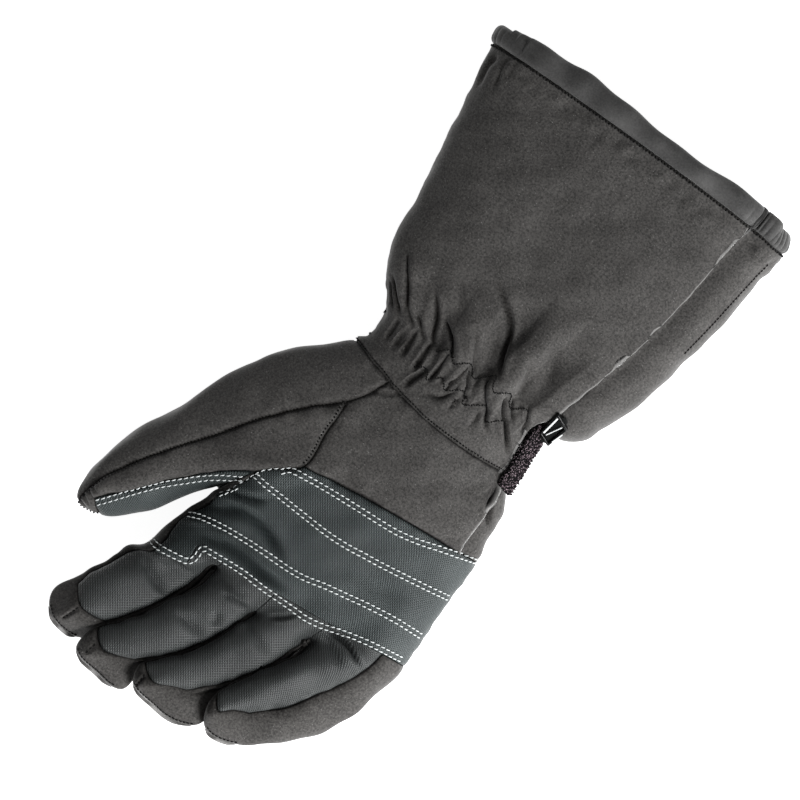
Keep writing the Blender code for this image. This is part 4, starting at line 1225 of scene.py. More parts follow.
def mouthLoop(shell, normals):
    border = shell.border
    rim = border["beside"] < 0
    following = dict(zip(border["start"][rim].tolist(), border["end"][rim].tolist()))
    owner = dict(zip(border["start"][rim].tolist(), border["owner"][rim].tolist()))
    start = next(iter(following))
    spots = [start]
    while following[spots[-1]] != start:
        spots.append(following[spots[-1]])
    faceNormal = shell.faceNormals()
    loop = []
    for here, spot in enumerate(spots):
        ahead = shell.points[spots[(here + 1) % len(spots)]] - shell.points[spots[here - 1]]
        out = -np.cross(faceNormal[owner[spot]], ahead)
        loop.append((*shell.points[spot], *(out / np.linalg.norm(out)), *normals[spot], shell.place[spot]))
    return np.array(loop)


def finerLoop(loop, times):
    # The same closed loop with more points; the place round the cuff is joined over its jump
    count = len(loop)
    whole = np.concatenate([loop, loop[:1]])
    turn = np.unwrap(whole[:, 9], period=cloth["ring"])
    spots = np.arange(count * times) / times
    columns = [np.interp(spots, np.arange(count + 1), whole[:, column]) for column in range(9)]
    place = np.interp(spots, np.arange(count + 1), turn) % cloth["ring"]
    return np.stack(columns, axis=1), place


def cuffHem(shell, normals, materials):
    loop, place = finerLoop(mouthLoop(shell, normals), hem["finer"])
    point, out, normal = loop[:, :3], loop[:, 3:6], loop[:, 6:9]
    steps = np.linalg.norm(np.diff(point, axis=0, append=point[:1]), axis=1)
    travel = np.concatenate([[0], np.cumsum(steps)[:-1]])
    draws = np.random.default_rng(lumps["seed"] + 1)
    ribs = np.zeros(len(loop))
    for centre, reach in hem["ribPlaces"]:
        apart = abs(columnsApart(place, centre))
        ribs = np.maximum(ribs, smoothStep(reach, reach * hem["ribFade"], apart))
    swayed = travel + hem["ribSway"][1] * waveNoise(point, hem["ribSway"][0], draws)
    wave = np.abs(np.sin(math.pi * swayed / hem["ribPitch"])) ** hem["ribSharpness"]
    ribs *= hem["rib"] * (wave - hem["ribMiddle"])
    bulge = hem["bulge"] * waveNoise(point, hem["bulgeSize"], draws)
    for centre, reach, height in hem["swells"]:
        bulge = bulge + height * falloff(place - centre, reach)
    jointPlace, jointDepth, jointWidth = hem["joint"]
    jointTravel = travel[np.argmin(abs(place - jointPlace))]
    joint = jointDepth * falloff(travel - jointTravel, jointWidth)
    middle = point - normal * cloth["wall"] / 2 + out * (cloth["seamGap"] + hem["width"] / 2)
    points = np.zeros((len(loop), hem["sides"], 3))
    for step in range(hem["sides"]):
        angle = 2 * math.pi * (step + 0.5) / hem["sides"]
        reach = squared(math.cos(angle), hem["squareness"])
        inner = math.sqrt(max(-reach, 0.0))
        outer = max(reach, 0.0)
        wide = reach * hem["width"] / 2 + bulge * outer - joint * outer / 2
        pucker = ribs * (hem["ribOut"] + (1 - hem["ribOut"]) * inner)
        high = math.sin(angle) * (hem["thickness"] / 2 + pucker - joint)
        points[:, step] = middle + out * wide[:, None] + normal * high[:, None]
    points[:, :, 2] = np.maximum(points[:, :, 2], 0)
    count, sides = len(loop), hem["sides"]
    here = np.arange(count)[:, None] * sides
    following = (np.arange(count)[:, None] + 1) % count * sides
    step = np.arange(sides)[None, :]
    after = (step + 1) % sides
    corners = [here + step, following + step, following + after, here + after]
    faces = np.stack(corners, axis=2).reshape(-1, 4)
    made = meshObject("cuffHemRoll", points.reshape(-1, 3), faces.tolist(), materials["hem_cloth"])
    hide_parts("cuff_hem")
    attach(made, "root")
    return point - out * hem["stitchesInside"]


# The knitted strap lies along the side of the wrist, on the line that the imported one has
strap = {
    "start": 0.18,
    "length": 0.031,
    "thickness": 0.0026,
    "ends": [
        # lowerX, lowerZ, upperX, upperZ
        (-1.132, 0.58, -0.975, 0.78),
        (-0.992, 0.66, -0.840, 0.86),
    ],
    "rows": 130,
    "sides": 84,
    "roundness": 0.6,
    "loop": (0.0016, 0.0012),     # length and width of one knitted loop
    "bump": 0.0009,
    "bumpSharpness": 0.7,
    "fuzz": 0.00045,
    "fuzzSize": 0.0008,
    "endRows": 6,                 # over how many rows each end rounds off, and how wide it starts
    "endWidth": 0.55,
    "overlap": 0.0060,            # how far it runs on under the buckle
}


def wristStrap(materials):
    half, thick = cuff["wristWidth"] / 2, cuff["wristThickness"]
    startY = strap["length"] * strap["start"] - palm["length"] * palm["centre"]
    whole = strap["length"] + strap["overlap"]
    draws = np.random.default_rng(lumps["seed"] + 2)
    points = []
    rows, sides = strap["rows"], strap["sides"]
    for row in range(rows + 1):
        travel = whole * row / rows
        share = min(travel / strap["length"], 1.0)
        ends = [first + (last - first) * share for first, last in zip(*strap["ends"])]
        lower = Vector((half * ends[0], startY - travel, thick * ends[1]))
        upper = Vector((half * ends[2], startY - travel, thick * ends[3]))
        across = (upper - lower).normalized()
        out = Vector((0, 1, 0)).cross(across).normalized()
        if out.x > 0:    # the strap lies on the little-finger side, where outwards is towards -x
            out = -out
        middle = (lower + upper) / 2 + out * strap["thickness"] / 2
        squeeze = min(1.0, strap["endWidth"] + min(row, rows - row) / strap["endRows"])
        for angle in turns(sides):
            wide = squared(math.cos(angle), strap["roundness"])
            high = squared(math.sin(angle), strap["roundness"])
            reach = wide * (upper - lower).length / 2
            column = reach / strap["loop"][1]
            turn = travel / strap["loop"][0] + 0.5 * (math.floor(column) % 2)
            bump = abs(math.sin(math.pi * turn)) * abs(math.sin(math.pi * column)) ** strap["bumpSharpness"]
            swell = strap["bump"] * (bump - 0.5)
            spot = middle + across * (reach + swell * wide) * squeeze
            spot += out * (high * strap["thickness"] / 2 * squeeze + swell * high)
            points.append(spot)
    points = np.array([tuple(point) for point in points])
    fuzz = strap["fuzz"] * waveNoise(points, strap["fuzzSize"], draws)
    centre = points.reshape(rows + 1, sides, 3).mean(axis=1, keepdims=True)
    away = points.reshape(rows + 1, sides, 3) - centre
    away /= np.maximum(np.linalg.norm(away, axis=2, keepdims=True), tiny)
    points += away.reshape(-1, 3) * fuzz[:, None]
    faces = outward(points, tubeFaces(rows + 1, sides))
    made = meshObject("knittedStrap", points, faces, materials["knit_webbing"])
    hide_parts("wrist_strap")
    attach(made, "root")


# The ladder buckle: rounded bars between pixels of the photograph, on a plane that leans against the cloth
buckle = {
    "middle": (554.0, 431.5, 0.0384),    # pixel and height
    "slopes": (0.39, -0.68),             # rise of the plane along x and along y
    "bars": [
        # start, end, width and height in mm, lift in mm; the pale ones are painted highlights, the glints of
        # light on the bars
        ((558.5, 416.5), (541.8, 434.5), 1.6, 2.6, 0.0),
        ((541.8, 434.5), (549.0, 445.6), 1.5, 2.6, 0.1),
        ((549.0, 445.6), (566.8, 430.5), 1.6, 2.6, 0.0),
        ((566.8, 430.5), (558.5, 416.5), 1.5, 2.6, 0.1),
    ],
    "bed": [((545.5, 440.0), (562.5, 423.5), 5.6, 1.2, -0.6)],
    # painted highlights: pale bars where the buckle's bars catch the light
    "pale": [
        ((544.6, 434.0), (557.4, 420.9), 1.1, 0.8, 1.2),
        ((546.8, 436.6), (562.2, 429.4), 0.6, 0.7, 1.3),
        ((553.2, 443.4), (562.4, 436.8), 0.8, 0.7, 1.3),
    ],
    "sides": 16,
    "roundness": 0.6,
    "ends": 5,                           # rings that round off each end, and how thick the first is
    "endSize": 0.25,
    # colour, roughness and gloss
    "paintedGlintLook": ((0.62, 0.64, 0.64), 0.25),
    "bedLook": ((0.006, 0.0065, 0.0065), 0.6, 0.05),
}


def barRings(start, end, half):
    # How far along each ring of a bar stands, and its share of the full size
    rings = []
    for step in range(buckle["ends"] + 1):
        angle = math.pi / 2 * step / buckle["ends"]
        rings.append((-math.cos(angle) * half, max(math.sin(angle), buckle["endSize"])))
    length = (end - start).length
    return rings + [(length - along, size) for along, size in reversed(rings)]


def barsMesh(name, bars, material):
    u, v, height = buckle["middle"]
    middle = fromPhoto(u, v)
    slopeX, slopeY = buckle["slopes"]
    normal = Vector((-slopeX, -slopeY, 1)).normalized()
    allPoints, allFaces = [], []
    for start, end, width, thick, lift in bars:
        places = []
        for pixel in (start, end):
            plan = fromPhoto(*pixel)
            rise = (plan.x - middle.x) * slopeX + (plan.y - middle.y) * slopeY
            places.append(Vector((plan.x, plan.y, height + rise + lift / 1000)))
        way = (places[1] - places[0]).normalized()
        side = normal.cross(way)
        half = width / 2000
        rings = barRings(*places, half)
        sides = buckle["sides"]
        base = len(allPoints)
        for along, size in rings:
            for angle in turns(sides):
                wide = squared(math.cos(angle), buckle["roundness"]) * half * size
                high = squared(math.sin(angle), buckle["roundness"])
                spot = places[0] + way * along + side * wide + normal * high * thick / 2000 * size
                allPoints.append(tuple(spot))
        faces = outward(np.array(allPoints[base:]), tubeFaces(len(rings), sides))
        allFaces += [[corner + base for corner in face] for face in faces]
    made = meshObject(name, np.array(allPoints), allFaces, material)
    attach(made, "root")
    return made


def ladderBuckle(materials):
    made = barsMesh("ladderBuckle", buckle["bars"], materials["buckle_plastic"])
    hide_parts("strap_buckle")
    # the pale bars are painted highlights
    barsMesh("bucklePaintedGlints", buckle["pale"], plainMaterial("paintedGlintPlastic", *buckle["paintedGlintLook"]))
    barsMesh("buckleBed", buckle["bed"], plainMaterial("mattPlastic", *buckle["bedLook"]))


def newMaterial(name):
    made = bpy.data.materials.new(name)
    made.use_nodes = True
    tree = made.node_tree
    return made, tree, tree.nodes["Principled BSDF"]


def addNode(tree, kind, inputs=(), **settings):
    node = tree.nodes.new("ShaderNode" + kind)
    for name, value in settings.items():
        setattr(node, name, value)
    for name, value in dict(inputs).items():
        if isinstance(value, bpy.types.NodeSocket):
            tree.links.new(value, node.inputs[name])
        else:
            node.inputs[name].default_value = value
    return node


def ownPlace(tree):
    return addNode(tree, "TexCoord").outputs["Object"]


def pointValue(tree, name, output="Fac"):
    return addNode(tree, "Attribute", attribute_name=name).outputs[output]


noiseRange = (0.3, 0.7)    # most of a noise lies between these


def addNoise(tree, size, detail=2.0, roughness=0.5):
    return addNode(tree, "TexNoise", {"Vector": ownPlace(tree), "Scale": 1 / size, "Detail": detail,
                                      "Roughness": roughness}).outputs["Fac"]


def mathNode(tree, operation, first, second=0.0):
    return addNode(tree, "Math", {0: first, 1: second}, operation=operation).outputs[0]


def rangeNode(tree, value, low, high, toLow=0.0, toHigh=1.0):
    return addNode(tree, "MapRange", {"Value": value, "From Min": low, "From Max": high,
                                      "To Min": toLow, "To Max": toHigh}).outputs[0]


def weighted(tree, first, firstShare, second, secondShare):
    return mathNode(tree, "ADD", mathNode(tree, "MULTIPLY", first, firstShare),
                    mathNode(tree, "MULTIPLY", second, secondShare))


def mixColour(tree, share, first, second):
    # The mix node keeps sockets for every kind of value: 0 is the share, 6 and 7 are the colours
    node = tree.nodes.new("ShaderNodeMix")
    node.data_type = "RGBA"
    for socket, value in ((node.inputs[0], share), (node.inputs[6], first), (node.inputs[7], second)):
        if isinstance(value, bpy.types.NodeSocket):
            tree.links.new(value, socket)
        else:
            socket.default_value = value
    return node.outputs[2]


# Painted shade and painted highlights in the colour of the cloth
shade = {
    "strength": 0.83,
    "colour": (0.004, 0.004, 0.004, 1),
    "paintedHighlightColour": (0.36, 0.355, 0.35, 1),
    "paintedHighlightStrength": 0.33,
    "glossUntil": 0.6,    # the shade in which sheen and gloss are gone
}


def shaded(tree, shader, colour, sheen, gloss):
    # The colour and sheen, with painted shade in the seams and at the bottom of the creases, and painted
    # highlights on the edges that catch the light
    # painted highlight: paler colour on the edges that catch the light
    paintedHighlightShare = mathNode(tree, "MULTIPLY", pointValue(tree, "paintedHighlight"), shade["paintedHighlightStrength"])
    colour = mixColour(tree, paintedHighlightShare, colour, shade["paintedHighlightColour"])
    # painted shade: darker colour, and less sheen and gloss
    paintedShade = pointValue(tree, "paintedShade")
    darkShare = mathNode(tree, "MULTIPLY", paintedShade, shade["strength"])
    colour = mixColour(tree, darkShare, colour, shade["colour"])
    tree.links.new(colour, shader.inputs["Base Color"])
    for amount, socket in ((sheen, "Sheen Weight"), (gloss, "Specular IOR Level")):
        left = rangeNode(tree, paintedShade, 0.0, shade["glossUntil"], amount, 0.0)
        tree.links.new(left, shader.inputs[socket])


def addBump(tree, shader, height, depth, strength=1.0):
    bump = addNode(tree, "Bump", {"Height": height, "Distance": depth, "Strength": strength})
    tree.links.new(bump.outputs[0], shader.inputs["Normal"])
    return bump


softshell = {
    "dark": (0.015, 0.014, 0.0132, 1),
    "pale": (0.072, 0.0685, 0.065, 1),
    "fleck": (0.24, 0.235, 0.23, 1),
    "mottle": 0.022,
    "mottled": 0.13,      # how much of the tone the broad mottle makes
    "grain": 0.0011,
    "fibre": 0.0007,
    "toneRange": (0.36, 0.66),
    "fleckRange": (0.70, 0.80),
    "fleckShare": 0.8,
    "roughness": 0.85,
    "gloss": 0.42,
    "sheen": 0.38,
    "sheenRoughness": 0.40,
    "grainDepth": 0.00012,
    "grainStrength": 0.8,
}


def softshellMaterial():
    made, tree, shader = newMaterial("softshell")
    mottle = addNoise(tree, softshell["mottle"], 3.0, 0.6)
    grain = addNoise(tree, softshell["grain"], 3.0, 0.7)
    fibre = addNoise(tree, softshell["fibre"], 1.0)
    tone = weighted(tree, mottle, softshell["mottled"], grain, 1 - softshell["mottled"])
    tone = rangeNode(tree, tone, *softshell["toneRange"])
    colour = mixColour(tree, tone, softshell["dark"], softshell["pale"])
    flecks = rangeNode(tree, fibre, *softshell["fleckRange"], 0.0, softshell["fleckShare"])
    colour = mixColour(tree, flecks, colour, softshell["fleck"])
    shaded(tree, shader, colour, softshell["sheen"], softshell["gloss"])
    shader.inputs["Roughness"].default_value = softshell["roughness"]
    shader.inputs["Sheen Roughness"].default_value = softshell["sheenRoughness"]
    rough = mathNode(tree, "ADD", grain, fibre)
    addBump(tree, shader, rough, softshell["grainDepth"], softshell["grainStrength"])
    return made


woven = {
    "dark": (0.004, 0.0056, 0.0060, 1),
    "pale": (0.076, 0.094, 0.095, 1),
    "fingerDark": (0.0045, 0.0050, 0.0050, 1),
    "fingerPale": (0.068, 0.075, 0.075, 1),
    "thread": 0.00122,
    "weftPitch": 0.93,          # how close the weft's threads lie, in shares of the warp's
    "wobble": (0.004, 1.2),     # size and amount of the threads' unevenness
    "plain": (0.7, 0.55),       # grid and warp in the plain weave of the palm
    "ribs": (0.5, 0.5),         # warp and grid in the ribbed weave of the fingers
    "heightRange": (-0.7, 0.7),
    "toneRange": (-0.12, 0.88),
    "mottle": 0.030,
    "fine": 0.0008,
    "uneven": 0.08,             # how much the mottle and the fine grain change the tone
    "roughness": 0.45,
    "gloss": 0.30,
    "sheen": 0.08,
    "depth": 0.00018,
    "strength": 0.9,
}


def wovenMaterial():
    made, tree, shader = newMaterial("wovenNylon")
    ribbed = pointValue(tree, "ribbed")
    apart = addNode(tree, "SeparateXYZ", {0: pointValue(tree, "weave", "Vector")})
    size, amount = woven["wobble"]
    wobble = mathNode(tree, "MULTIPLY", addNoise(tree, size, 1.0), amount)
    pitch = 2 * math.pi / woven["thread"]
    across = mathNode(tree, "MULTIPLY", apart.outputs[0], pitch)
    warp = mathNode(tree, "SINE", mathNode(tree, "ADD", across, wobble))
    weft = mathNode(tree, "SINE", mathNode(tree, "MULTIPLY", apart.outputs[1], pitch * woven["weftPitch"]))
    grid = mathNode(tree, "MULTIPLY", warp, weft)
    plain = weighted(tree, grid, woven["plain"][0], warp, woven["plain"][1])
    ribs = weighted(tree, warp, woven["ribs"][0], grid, woven["ribs"][1])
    height = weighted(tree, ribs, ribbed, plain, mathNode(tree, "SUBTRACT", 1.0, ribbed))
    tone = rangeNode(tree, height, *woven["heightRange"], *woven["toneRange"])
    uneven = woven["uneven"]
    for noise in (addNoise(tree, woven["mottle"], 3.0), addNoise(tree, woven["fine"], 1.0)):
        tone = mathNode(tree, "ADD", tone, rangeNode(tree, noise, *noiseRange, -uneven, uneven))
    colour = mixColour(tree, ribbed, mixColour(tree, tone, woven["dark"], woven["pale"]),
                       mixColour(tree, tone, woven["fingerDark"], woven["fingerPale"]))
    shaded(tree, shader, colour, woven["sheen"], woven["gloss"])
    shader.inputs["Roughness"].default_value = woven["roughness"]
    addBump(tree, shader, height, woven["depth"], woven["strength"])
    return made


hemLook = {
    "dark": (0.014, 0.0137, 0.0133, 1),
    "pale": (0.060, 0.059, 0.058, 1),
    "grain": 0.0010,
    "mottle": 0.016,
    "toneRange": (0.35, 0.65),
    "roughness": 0.75,
    "sheen": 0.2,
    "grainDepth": 0.00012,
    "grainStrength": 0.8,
}


def hemMaterial():
    made, tree, shader = newMaterial("hemCloth")
    grain = addNoise(tree, hemLook["grain"], 3.0, 0.7)
    mottle = addNoise(tree, hemLook["mottle"])
    tone = rangeNode(tree, weighted(tree, mottle, 0.5, grain, 0.5), *hemLook["toneRange"])
    tree.links.new(mixColour(tree, tone, hemLook["dark"], hemLook["pale"]), shader.inputs["Base Color"])
    shader.inputs["Roughness"].default_value = hemLook["roughness"]
    shader.inputs["Sheen Weight"].default_value = hemLook["sheen"]
    addBump(tree, shader, grain, hemLook["grainDepth"], hemLook["grainStrength"])
    return made


knit = {
    "dark": (0.003, 0.0026, 0.003, 1),
    "pale": (0.32, 0.25, 0.28, 1),
    "loop": 0.0010,
    "loopRange": (0.10, 0.45),
    "palest": 0.9,
    "roughness": 0.9,
    "gloss": 0.08,
    "depth": 0.0004,
}


def knitMaterial():
    made, tree, shader = newMaterial("knitWebbing")
    cells = addNode(tree, "TexVoronoi", {"Vector": ownPlace(tree), "Scale": 1 / knit["loop"]})
    # The yarn's own colour is the dark one; the pale middles of the loops are painted highlights, and the
    # dark between them painted shade
    tone = rangeNode(tree, cells.outputs["Distance"], *knit["loopRange"], knit["palest"], 0.0)
    tree.links.new(mixColour(tree, tone, knit["dark"], knit["pale"]), shader.inputs["Base Color"])
    shader.inputs["Roughness"].default_value = knit["roughness"]
    shader.inputs["Specular IOR Level"].default_value = knit["gloss"]
    addBump(tree, shader, tone, knit["depth"])
    return made


plastic = {
    "colour": (0.004, 0.0042, 0.0045, 1),
    "grain": 0.0006,
    "roughness": (0.16, 0.26),
    "gloss": 0.2,
    "depth": 0.00003,
    "strength": 0.5,
}


def plasticMaterial():
    made, tree, shader = newMaterial("bucklePlastic")
    grain = addNoise(tree, plastic["grain"])
    shader.inputs["Base Color"].default_value = plastic["colour"]
    shader.inputs["Specular IOR Level"].default_value = plastic["gloss"]
    tree.links.new(rangeNode(tree, grain, *noiseRange, *plastic["roughness"]), shader.inputs["Roughness"])
    addBump(tree, shader, grain, plastic["depth"], plastic["strength"])
    return made


threadLook = {
    "white": [(0.42, 0.45, 0.45, 1), (0.78, 0.81, 0.81, 1), 0.6],    # dark, pale and roughness
    "black": [(0.002, 0.002, 0.002, 1), (0.007, 0.007, 0.007, 1), 0.9],
    "twist": 0.00035,
    "gloss": 0.2,
    "depth": 0.0001,
    "strength": 0.8,
}


def threadMaterial(name, dark, pale, roughness):
    made, tree, shader = newMaterial(name)
    twist = addNoise(tree, threadLook["twist"])
    tone = rangeNode(tree, twist, *noiseRange)
    tree.links.new(mixColour(tree, tone, dark, pale), shader.inputs["Base Color"])
    shader.inputs["Roughness"].default_value = roughness
    shader.inputs["Specular IOR Level"].default_value = threadLook["gloss"]
    addBump(tree, shader, twist, threadLook["depth"], threadLook["strength"])
    return made


def plainMaterial(name, colour, roughness, gloss=0.5):
    made, _, shader = newMaterial(name)
    shader.inputs["Specular IOR Level"].default_value = gloss
    shader.inputs["Base Color"].default_value = (*colour, 1)
    shader.inputs["Roughness"].default_value = roughness
    return made


# Sewing thread: each stitch is a short bead of thread that dives into the cloth at both ends.
# The kinds of stitch below change some of these values
thread = {
    "length": 0.0023,
    "gap": 0.0007,
    "radius": 0.00035,
    "zigzag": 0.0,
    "slant": 0.0,
    "sides": 6,
    "sections": (-0.5, -0.42, -0.22, 0.0, 0.22, 0.42, 0.5),    # where along a stitch its rings stand
    "endSize": 0.25,
    "bow": 0.00028,
    "above": 0.00012,
}
stitchKinds = {
    "white": {"slant": 7.0},    # degrees that each stitch turns from its line
    "seam": {"length": 0.0010, "gap": 0.0008, "radius": 0.00042},
    "gather": {"length": 0.0012, "gap": 0.0001, "radius": 0.00028, "zigzag": 32.0},
    "tip": {"length": 0.0016, "gap": 0.0003, "radius": 0.00036},
    "hem": {"length": 0.0015, "gap": 0.0004, "radius": 0.00040, "zigzag": 42.0},
}
drop = {
    "from": 0.2,          # height from which lines are dropped onto the cloth
    "lowest": 0.004,      # and below which they count as beside it
}


def stitchForm():
    points = []
    sections, sides = thread["sections"], thread["sides"]
    for share in sections:
        fat = max(math.sqrt(max(1 - (2 * share) ** 4, 0.0)), thread["endSize"])
        high = thread["bow"] * (1 - (2 * share) ** 2)
        for angle in turns(sides):
            points.append((share, math.cos(angle) * fat, math.sin(angle) * fat, high))
    return np.array(points), [face[::-1] for face in tubeFaces(len(sections), sides)]


def alongPath(spots, reach, points):
    return np.stack([np.interp(spots, reach, points[:, axis]) for axis in range(3)], axis=1)


def evenPath(points, pitch):
    # Places and directions at even distances along a line of points
    points = np.array([tuple(point) for point in points])
    steps = np.linalg.norm(np.diff(points, axis=0), axis=1)
    reach = np.concatenate([[0], np.cumsum(steps)])
    count = max(int(reach[-1] / pitch), 1)
    spots = (np.arange(count) + 0.5) * reach[-1] / count
    ways = alongPath(spots + pitch / 3, reach, points) - alongPath(spots - pitch / 3, reach, points)
    return alongPath(spots, reach, points), ways


def sew(name, paths, tree, material, kind):
    # One mesh of all the stitches along these lines, laid on the cloth
    size = {**thread, **stitchKinds[kind]}
    length, radius, zigzag, slant = size["length"], size["radius"], size["zigzag"], size["slant"]
    pitch = length + size["gap"]
    form, formFaces = stitchForm()
    allPoints, allFaces = [], []
    for path in paths:
        places, ways = evenPath(path, pitch)
        for number, (place, way) in enumerate(zip(places, ways)):
            spot, normal, _, _ = tree.find_nearest(Vector(place))
            if spot is None:
                continue
            way = Vector(way)
            way = (way - normal * way.dot(normal)).normalized()
            side = normal.cross(way)
            if zigzag or slant:
                turn = math.radians((zigzag if number % 2 else -zigzag) + slant)
                way = way * math.cos(turn) + side * math.sin(turn)
                side = normal.cross(way)
            centre = np.array(spot) + np.array(normal) * thread["above"]
            base = len(allPoints) * len(form)
            along = form[:, :1] * length * np.array(way)
            across = form[:, 1:2] * radius * np.array(side)
            above = (form[:, 2:3] * radius + form[:, 3:4]) * np.array(normal)
            allPoints.append(centre + along + across + above)
            allFaces += [[corner + base for corner in face] for face in formFaces]
    made = meshObject(name, np.concatenate(allPoints), allFaces, material)
    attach(made, "root")
    return made


def dropped(tree, x, y):
    return tree.ray_cast(Vector((x, y, drop["from"])), Vector((0, 0, -1)))[0]


def ontoCloth(tree, pixels, aside=0.0, steps=6):
    # A smooth line through pixels of the photograph, moved aside by a distance, dropped onto the palm side
    line = [np.array(tuple(fromPhoto(u, v))) for u, v in smoothLine(pixels, steps)]
    path = []
    for number, point in enumerate(line):
        way = line[min(number + 1, len(line) - 1)] - line[max(number - 1, 0)]
        way /= np.linalg.norm(way)
        point = point + np.array((-way[1], way[0])) * aside
        hit = dropped(tree, *point)
        if hit is not None and hit.z > drop["lowest"]:
            path.append(hit)
    return path


def seamPath(shell, tree, first, second, aside):
    # Lines beside the seam between two panels, at a distance inside the first
    starts, ends, side = shell.borderSides(shell.seam(first, second))
    following = dict(zip(starts.tolist(), ends.tolist()))
    sideAt = {}
    for start, end, way in zip(starts.tolist(), ends.tolist(), side):
        sideAt[start] = sideAt.get(start, 0) + way
        sideAt[end] = sideAt.get(end, 0) + way
    firsts = sorted(set(following) - set(following.values())) or sorted(following)[:1]
    paths = []
    for spot in firsts:
        chain = [spot]
        while chain[-1] in following and following[chain[-1]] != spot:
            chain.append(following[chain[-1]])
        path = []
        for link in chain:
            way = sideAt[link] / np.linalg.norm(sideAt[link])
            path.append(tree.find_nearest(Vector(shell.points[link] + way * aside))[0])
        paths.append(path)
    return paths


whiteRows = {
    "apart": -0.0024,     # the second line of a pair lies on the fingers' side of the first
    "rows": [
        # the palm patch's four double rows
        [(281, 471), (291.6, 469.5), (305.4, 475.2), (330, 489), (357.5, 505.8), (382, 521.3), (400.4, 532),
         (421.8, 541.2), (440.2, 547.3), (461.6, 555), (478, 561)],
        [(258, 474.4), (267, 482.9), (276.3, 490.5), (287, 499), (307, 515), (328.4, 531.8), (348.3, 544.9),
         (366.6, 554.8), (382, 563.2), (400, 572.4), (425, 585), (456, 600)],
        [(189, 513.5), (196.7, 515), (206, 517.5), (225.8, 526.5), (245.7, 538), (267, 551.7), (287, 565.5),
         (305.4, 576.2), (328.4, 585.4), (348.3, 594.6), (371.2, 605.3), (400, 620.6), (428, 639)],
        [(154.4, 540), (160, 545.6), (170.7, 551.7), (187.5, 559.4), (194.5, 557.9), (201.3, 549.5),
         (207.4, 548.1), (213.6, 551.7), (228.9, 560.9), (245.7, 571.6), (261, 583.9), (276.3, 594.6),
         (297.8, 609.9), (308.5, 617.6), (325.3, 625.2), (348.3, 632.9), (374.3, 643.6), (404, 659)],
        # the grip strip of the thumb
        [(97, 502), (110, 498.5), (135, 491), (160, 484.5), (183, 480.6), (206, 477.2), (224.3, 476.7),
         (245, 478)],
    ],
    "single": [
        # the web of the thumb
        [(219, 495.6), (229, 491.8), (239, 487.2)],
        [(220.5, 498.2), (230.5, 494.4), (240.5, 489.8)],
        [(241, 486.2), (251.8, 479), (259, 475), (267, 471.6), (275, 470), (281, 470)],
    ],
}


blackRows = {
    "seams": [
        # panel that carries the stitches, panel beside it, and how far from the seam they run
        ("gauntlet_palm_panel", "heel_panel", 0.0016),
        ("gauntlet_palm_panel", "thumb_outer_panel", 0.0016),
        ("gauntlet_back_panel", "hand_back_panel", 0.0016),
        ("gauntlet_back_panel", "thumb_outer_panel", 0.0016),
        ("thumb_front_panel", "heel_panel", 0.0014),
        ("thumb_front_panel", "thumb_outer_panel", 0.0014),
    ],
    # the gathers are stitched as two rows of short steps, each down the fold to the next
    "gathers": [
        [(436.6, 354), (450.4, 352.6), (452.7, 359.5), (455, 366.5), (470.3, 365.6), (473.4, 373.3),
         (475, 381), (496.4, 378), (494, 387), (495, 394.8), (511, 395.5), (510, 404), (511.7, 411),
         (527, 411.6), (528, 424)],
        [(414.5, 369.5), (426, 369.5), (429, 376), (427.5, 381.7), (442.8, 380.2), (445, 387),
         (445.8, 392.5), (462.7, 392.5), (465, 399.4), (464.2, 407), (485.7, 407.8), (485.7, 416),
         (487.2, 424), (504, 423), (506.3, 436), (507, 444)],
    ],
    "backRows": (5.9, 7.0),
    "backReach": 0.12,
    "backPoints": 120,
    "tips": [
        [(80.6, 609), (73, 614), (64, 620)],
        [(97.8, 645), (91, 651.5), (87, 655)],
        [(147.6, 675.7), (142, 682), (138, 687)],
    ],
    # the seam of the back panel, seen along the outline
    "outline": [
        [(768, 266), (740, 296), (712, 327), (684, 356)],
    ],
}


# The back panels show past the tips as a rim behind a seam, painted pale in patches as a highlight where it
# catches the light:
# the pixels lie near each rim, and the real outline is looked for along the way out
tipRims = {
    "rows": [
        [(53, 605), (59, 615.7), (66, 623.4), (72, 632), (78, 637)],
        [(77, 652), (85.5, 661), (91, 668), (98, 675), (107, 681), (117, 686)],
        [(132.5, 687), (140, 692), (149, 700), (159, 708), (170, 714), (182.7, 719), (198, 722)],
        [(209, 727), (217, 734), (228, 739.5), (241, 742)],
    ],
    "way": (-0.7071, 0.7071),       # the fingers' direction in the photograph
    "search": (-8.0, 9.0, 0.25),    # pixels along it: from, to and step
    "seam": 0.0014,       # how far inside the outline the seam runs
    "out": 0.0004,
    "radius": 0.0011,
    "sides": 10,
    "paintedHighlight": (1.0, 0.7),   # mean and unevenness of the painted highlight
    "paintedHighlightRange": (0.2, 1.7),
    "patch": 0.004,
    "endSize": 0.15,
    "taper": 5.0,         # how fast the ends of a rim get thick
    "evened": 4,          # how many times the outline is evened out
}


def evened(line):
    for _ in range(tipRims["evened"]):
        inner = [(before + spot * 2 + after) / 4 for before, spot, after in zip(line, line[1:], line[2:])]
        line = [line[0]] + inner + [line[-1]]
    return line


def rimLines(tree):
    # For each row, the outline itself and the line of its seam
    lines = []
    for pixels in tipRims["rows"]:
        edge, seam = [], []
        for u, v in smoothLine(pixels, 6):
            last = None
            for travel in np.arange(*tipRims["search"]):
                plan = fromPhoto(u + tipRims["way"][0] * travel, v + tipRims["way"][1] * travel)
                hit = dropped(tree, *plan)
                if hit is None or hit.z < drop["lowest"]:
                    break
                last = hit
            if last is not None:
                edge.append(last + Vector((0, tipRims["out"], 0)))
                seam.append(last - Vector((0, tipRims["seam"], 0)))
        lines.append((evened(edge), evened(seam)))
    return lines


